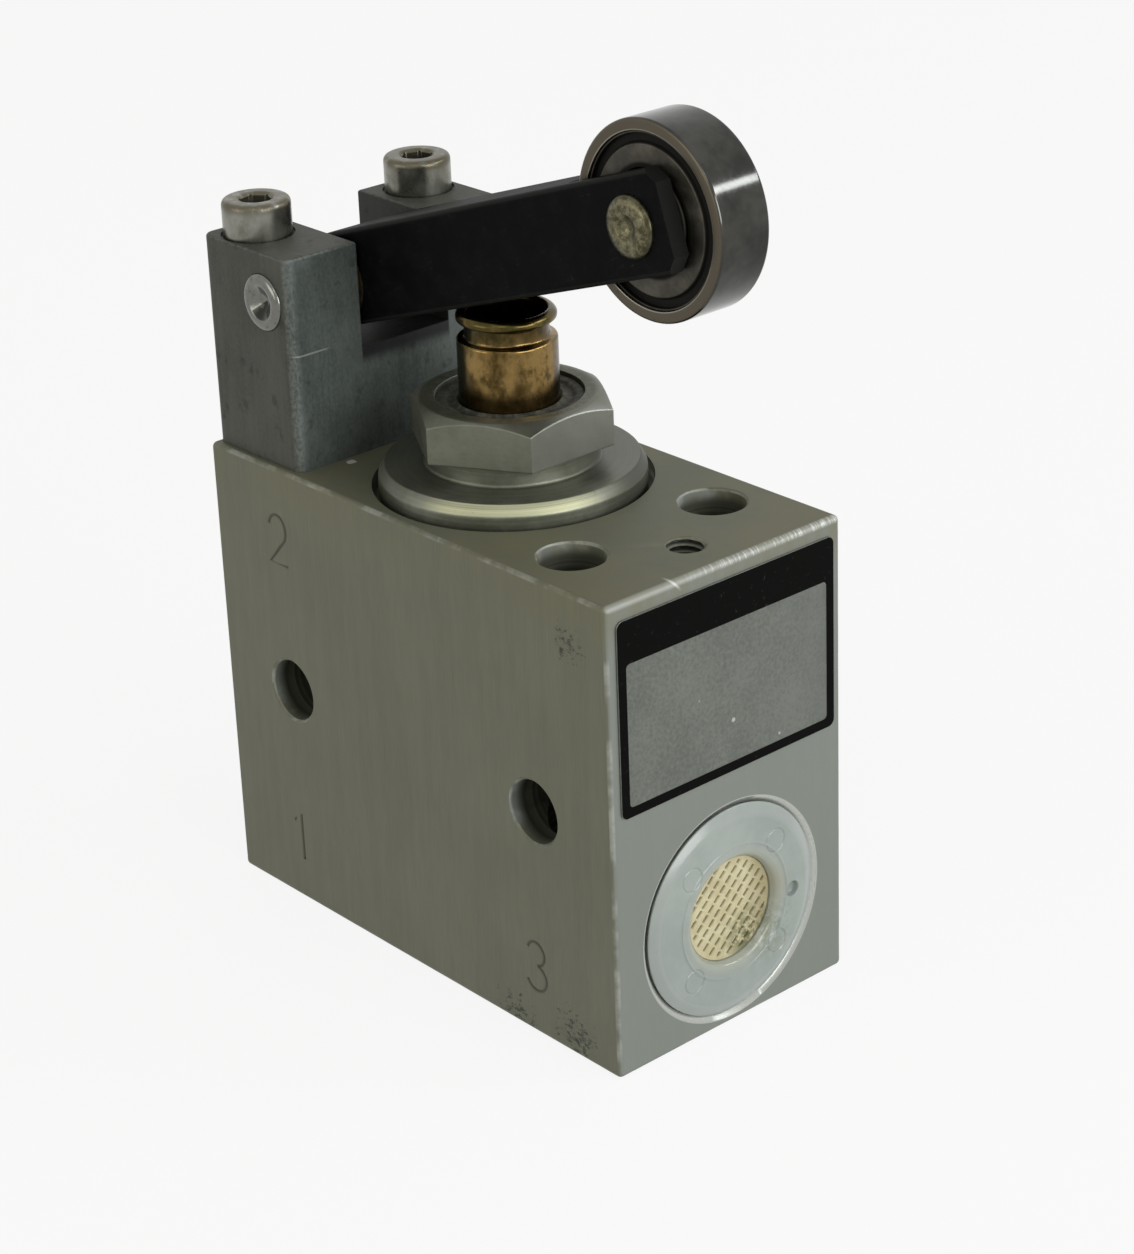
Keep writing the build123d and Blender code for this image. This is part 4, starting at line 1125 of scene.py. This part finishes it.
def domedPin(name, node, shape, at):
    # end: dome radius = land + (radius - land) cos t, rise = dome sin t, then a cone down to the middle
    half = (spanOf(node)[1][1] - spanOf(node)[0][1]) / 2
    turn = np.radians(np.linspace(0, 90, 9))
    dome = np.stack([shape["land"] + (shape["radius"] - shape["land"]) * np.cos(turn),
                     half - shape["dome"] + shape["dome"] * np.sin(turn)], -1)
    cone = np.array([(shape["mark"] + 0.05, half), (shape["mark"], half - 0.03), (shape["mark"] * 0.55, half - shape["markDepth"] * 0.45),
                     (0, half - shape["markDepth"])])
    end = np.concatenate([dome, cone])
    line = np.concatenate([end[::-1] * (1, -1), end])
    pin = roundPiece(name, line[:, 0], line[:, 1], alongY(at), 38)
    flatShading(pin)
    return pin


def makePins():
    pivot = domedPin("pivot_rod", "pivot_pin", pinShape["pivot"], pivotAt)
    finished(pivot, paints["steel_pin"], "body", "steel_pin", "pivot_pin")
    axle = domedPin("roller_axle", "roller_pin", pinShape["roller"], rollerAt)
    finished(axle, paints["steel_pin"], "lever", "steel_pin", "roller_pin")


makeScrews()
makePins()
print("screws and pins made")


# ball bearing that serves as the roller

bearingShape = {"outer": 9.5, "half": 3.0, "land": 8.3, "shoulder": 7.75, "innerTop": 4.75, "bore": 3.0,
                "pitch": 6.25, "track": 1.78, "shieldInset": 0.22, "sheet": 0.25, "crimp": 0.45}


def makeBearing():
    shape = bearingShape
    place = alongY(rollerAt)
    half, land, shoulder = shape["half"], shape["land"], shape["shoulder"]
    seat = half - shape["shieldInset"] - shape["crimp"] - shape["sheet"]
    open = math.degrees(math.acos((shoulder - shape["pitch"]) / shape["track"]))
    upper = [(shoulder, seat, 0.04), (land, seat, 0.04), (land, half, 0.14), (shape["outer"], half, 0.34)]
    lower = [(r, -z, e) for r, z, e in reversed(upper)]
    track = arcPoints((shape["pitch"], 0), shape["track"], -open, open)
    ring = turnedRing("race_outer", upper + lower + track, 0.1, place)
    flatShading(ring)
    finished(ring, paints["bearing_steel"], "roller", "bearing_steel", "bearing_outer_ring")
    outer = shape["innerTop"]
    upper = [(shape["bore"], half, 0.2), (outer, half, 0.2)]
    lower = [(r, -z, e) for r, z, e in reversed(upper)]
    open = math.degrees(math.acos((shape["pitch"] - outer) / shape["track"]))
    track = arcPoints((shape["pitch"], 0), shape["track"], 180 - open, 180 + open)
    ring = turnedRing("race_inner", upper + track + lower, 0.1, place)
    finished(ring, paints["bearing_steel"], "lever", "bearing_steel", "bearing_inner_ring")
    face, sheet = half - shape["shieldInset"], shape["sheet"]
    floor = face - shape["crimp"]
    lipOut, lipIn = land - 0.01, land - 0.24
    disc, hub = land - 1.0, outer + 0.2
    shields = []
    for side in (1, -1):
        outline = [(hub, face - sheet), (disc - 0.2 - sheet, face - sheet, 0.2), (disc - sheet, floor - sheet, 0.2),
                   (lipOut, floor - sheet), (lipOut, face, 0.08), (lipIn, face, 0.08), (lipIn, floor, 0.15),
                   (disc, floor, 0.15), (disc - 0.2, face, 0.15), (hub, face, 0.1)]
        shields.append(turnedRing("shield", [(r, z * side, *e) for r, z, *e in outline], 0.04, place))
    pair = joined("roller_shields", shields)
    finished(pair, paints["shield_steel"], "roller", "shield_steel", "bearing_shields")


makeBearing()
print("roller made")


# sheet lever and cast bracket keep their construction shapes, with rubbed edges

rubbedEdges = {"lever": 0.16, "bracket": 0.22}


def makeLeverAndBracket():
    lever = softened("lever_channel", "lever_sheet", rubbedEdges["lever"])
    finished(lever, paints["black_oxide"], "lever", "black_oxide", "lever_channel")
    bracket = softened("lever_bracket", "bracket_casting", rubbedEdges["bracket"])
    finished(bracket, paints["zinc_casting"], "body", "zinc_casting", "lever_bracket")


makeLeverAndBracket()
print("lever and bracket finished")


# exhaust plug: flange with four mould marks and a small hole, round a window

plugShape = {"flange": 10.6, "proud": 0.4, "under": 1.0, "window": 5.45, "tube": 7.4, "tubeLength": 5.6,
             "flare": 0.85, "slope": 0.95, "ringRadius": 7.05, "ringRise": 0.10, "marks": 1.22, "markCircle": 7.9, "markDepth": 0.09,
             "hole": (7.9, -0.7, 0.75, 0.65)}


def makePlug():
    # face height over (radius, angle): flat, plus a low ring, minus a fine groove where the distance to a
    # mark's middle equals the mark's radius, minus the small hole
    shape = plugShape
    low, high = spanOf("exhaust_plug")
    front, middle = high[0] - 0.12, (low + high) / 2
    columns = 900
    reach = np.linspace(shape["window"] + shape["flare"], shape["flange"] - shape["slope"], 60)
    angle = np.linspace(0, 2 * np.pi, columns, endpoint=False)
    radius, turn = np.meshgrid(reach, angle, indexing="ij")
    across, up = radius * np.cos(turn), radius * np.sin(turn)
    height = shape["ringRise"] * np.exp(-((radius - shape["ringRadius"]) / 0.13) ** 2)
    for quarter in np.radians([45, 135, 225, 315]):
        away = np.hypot(across - shape["markCircle"] * np.cos(quarter), up - shape["markCircle"] * np.sin(quarter))
        height -= shape["markDepth"] * np.exp(-((away - shape["marks"]) / 0.07) ** 2)
    x, y, size, depth = shape["hole"]
    away = np.hypot(across - x, up - y)
    height -= depth / (1 + np.exp((away - size) / 0.03))
    even = np.ones(columns)
    flange, window, tube = shape["flange"], shape["window"], shape["tube"]
    back = -shape["proud"] - shape["under"]
    inside = roundedLine([(window, back / 2), (window, -0.75), (window + 0.30, -0.22, 0.3),
                          (window + shape["flare"] - 0.05, 0)], 0.25, 5)
    outside = roundedLine([(flange - shape["slope"] + 0.05, -0.01), (flange - 0.45, -0.08, 0.30), (flange + 0.45, -0.52, 0.12),
                           (flange + 0.45, -0.66, 0.05), (flange - 0.05, back + 0.15), (flange - 0.05, back), (tube, back),
                           (tube, back - shape["tubeLength"] + shape["under"]),
                           (window, back - shape["tubeLength"] + shape["under"])], 0.08)
    rows = [(r * even, z * even) for r, z in inside] + list(zip(radius, height))
    rows += [(r * even, z * even) for r, z in outside]
    place = Matrix.Translation(Vector((front, middle[1], middle[2]))) @ Matrix(
        ((0, 0, 1, 0), (1, 0, 0, 0), (0, 1, 0, 0), (0, 0, 0, 1)))
    plug = roundPiece("vent_plug", np.array([r for r, z in rows]), np.array([z for r, z in rows]), place, 40, closed=True)
    finished(plug, paints["plug_plastic"], "body", "plug_plastic", "exhaust_plug")


# filter disc: slots in a square lattice and in its middles, all turned the same way

filterShape = {"pitch": 1.57, "length": 0.80, "width": 0.27, "turn": 42.0, "depth": 0.42}


def makeFilter():
    # height = -depth * along * across; each is a soft step of the half length less the distance from the
    # nearest slot's middle, measured in the slot's own turned directions
    shape = filterShape
    low, high = spanOf("filter_mesh")
    middle = (low + high) / 2
    radius, columns = (high[1] - low[1]) / 2, 720
    reach = np.linspace(0.03, radius - 0.04, 92)
    angle = np.linspace(0, 2 * np.pi, columns, endpoint=False)
    far, turn = np.meshgrid(reach, angle, indexing="ij")
    across, up = far * np.cos(turn), far * np.sin(turn)
    lean = math.radians(shape["turn"])
    height = np.zeros_like(far)
    for shift in (0.0, 0.5):
        u = (across / shape["pitch"] + 0.5 - shift) % 1 - 0.5
        v = (up / shape["pitch"] + 0.5 - shift) % 1 - 0.5
        u, v = u * shape["pitch"], v * shape["pitch"]
        long = abs(u * math.cos(lean) + v * math.sin(lean))
        wide = abs(v * math.cos(lean) - u * math.sin(lean))
        step = 1 / (1 + np.exp((long - shape["length"] / 2) / 0.025)) / (1 + np.exp((wide - shape["width"] / 2) / 0.02))
        height -= shape["depth"] * step * (far < radius - 0.45)
    even = np.ones(columns)
    thick = high[0] - low[0]
    rows = [(0.0 * even, 0.0 * even), *zip(far, height), (radius * even, -0.05 * even), (radius * even, -thick * even),
            (0.0 * even, -thick * even)]
    place = Matrix.Translation(Vector((high[0], middle[1], middle[2]))) @ Matrix(
        ((0, 0, 1, 0), (1, 0, 0, 0), (0, 1, 0, 0), (0, 0, 0, 1)))
    disc = roundPiece("filter_disc", np.array([r for r, z in rows]), np.array([z for r, z in rows]), place, 50)
    finished(disc, paints["filter_cream"], "body", "filter_cream", "filter_mesh")


makePlug()
makeFilter()
print("plug and filter made")

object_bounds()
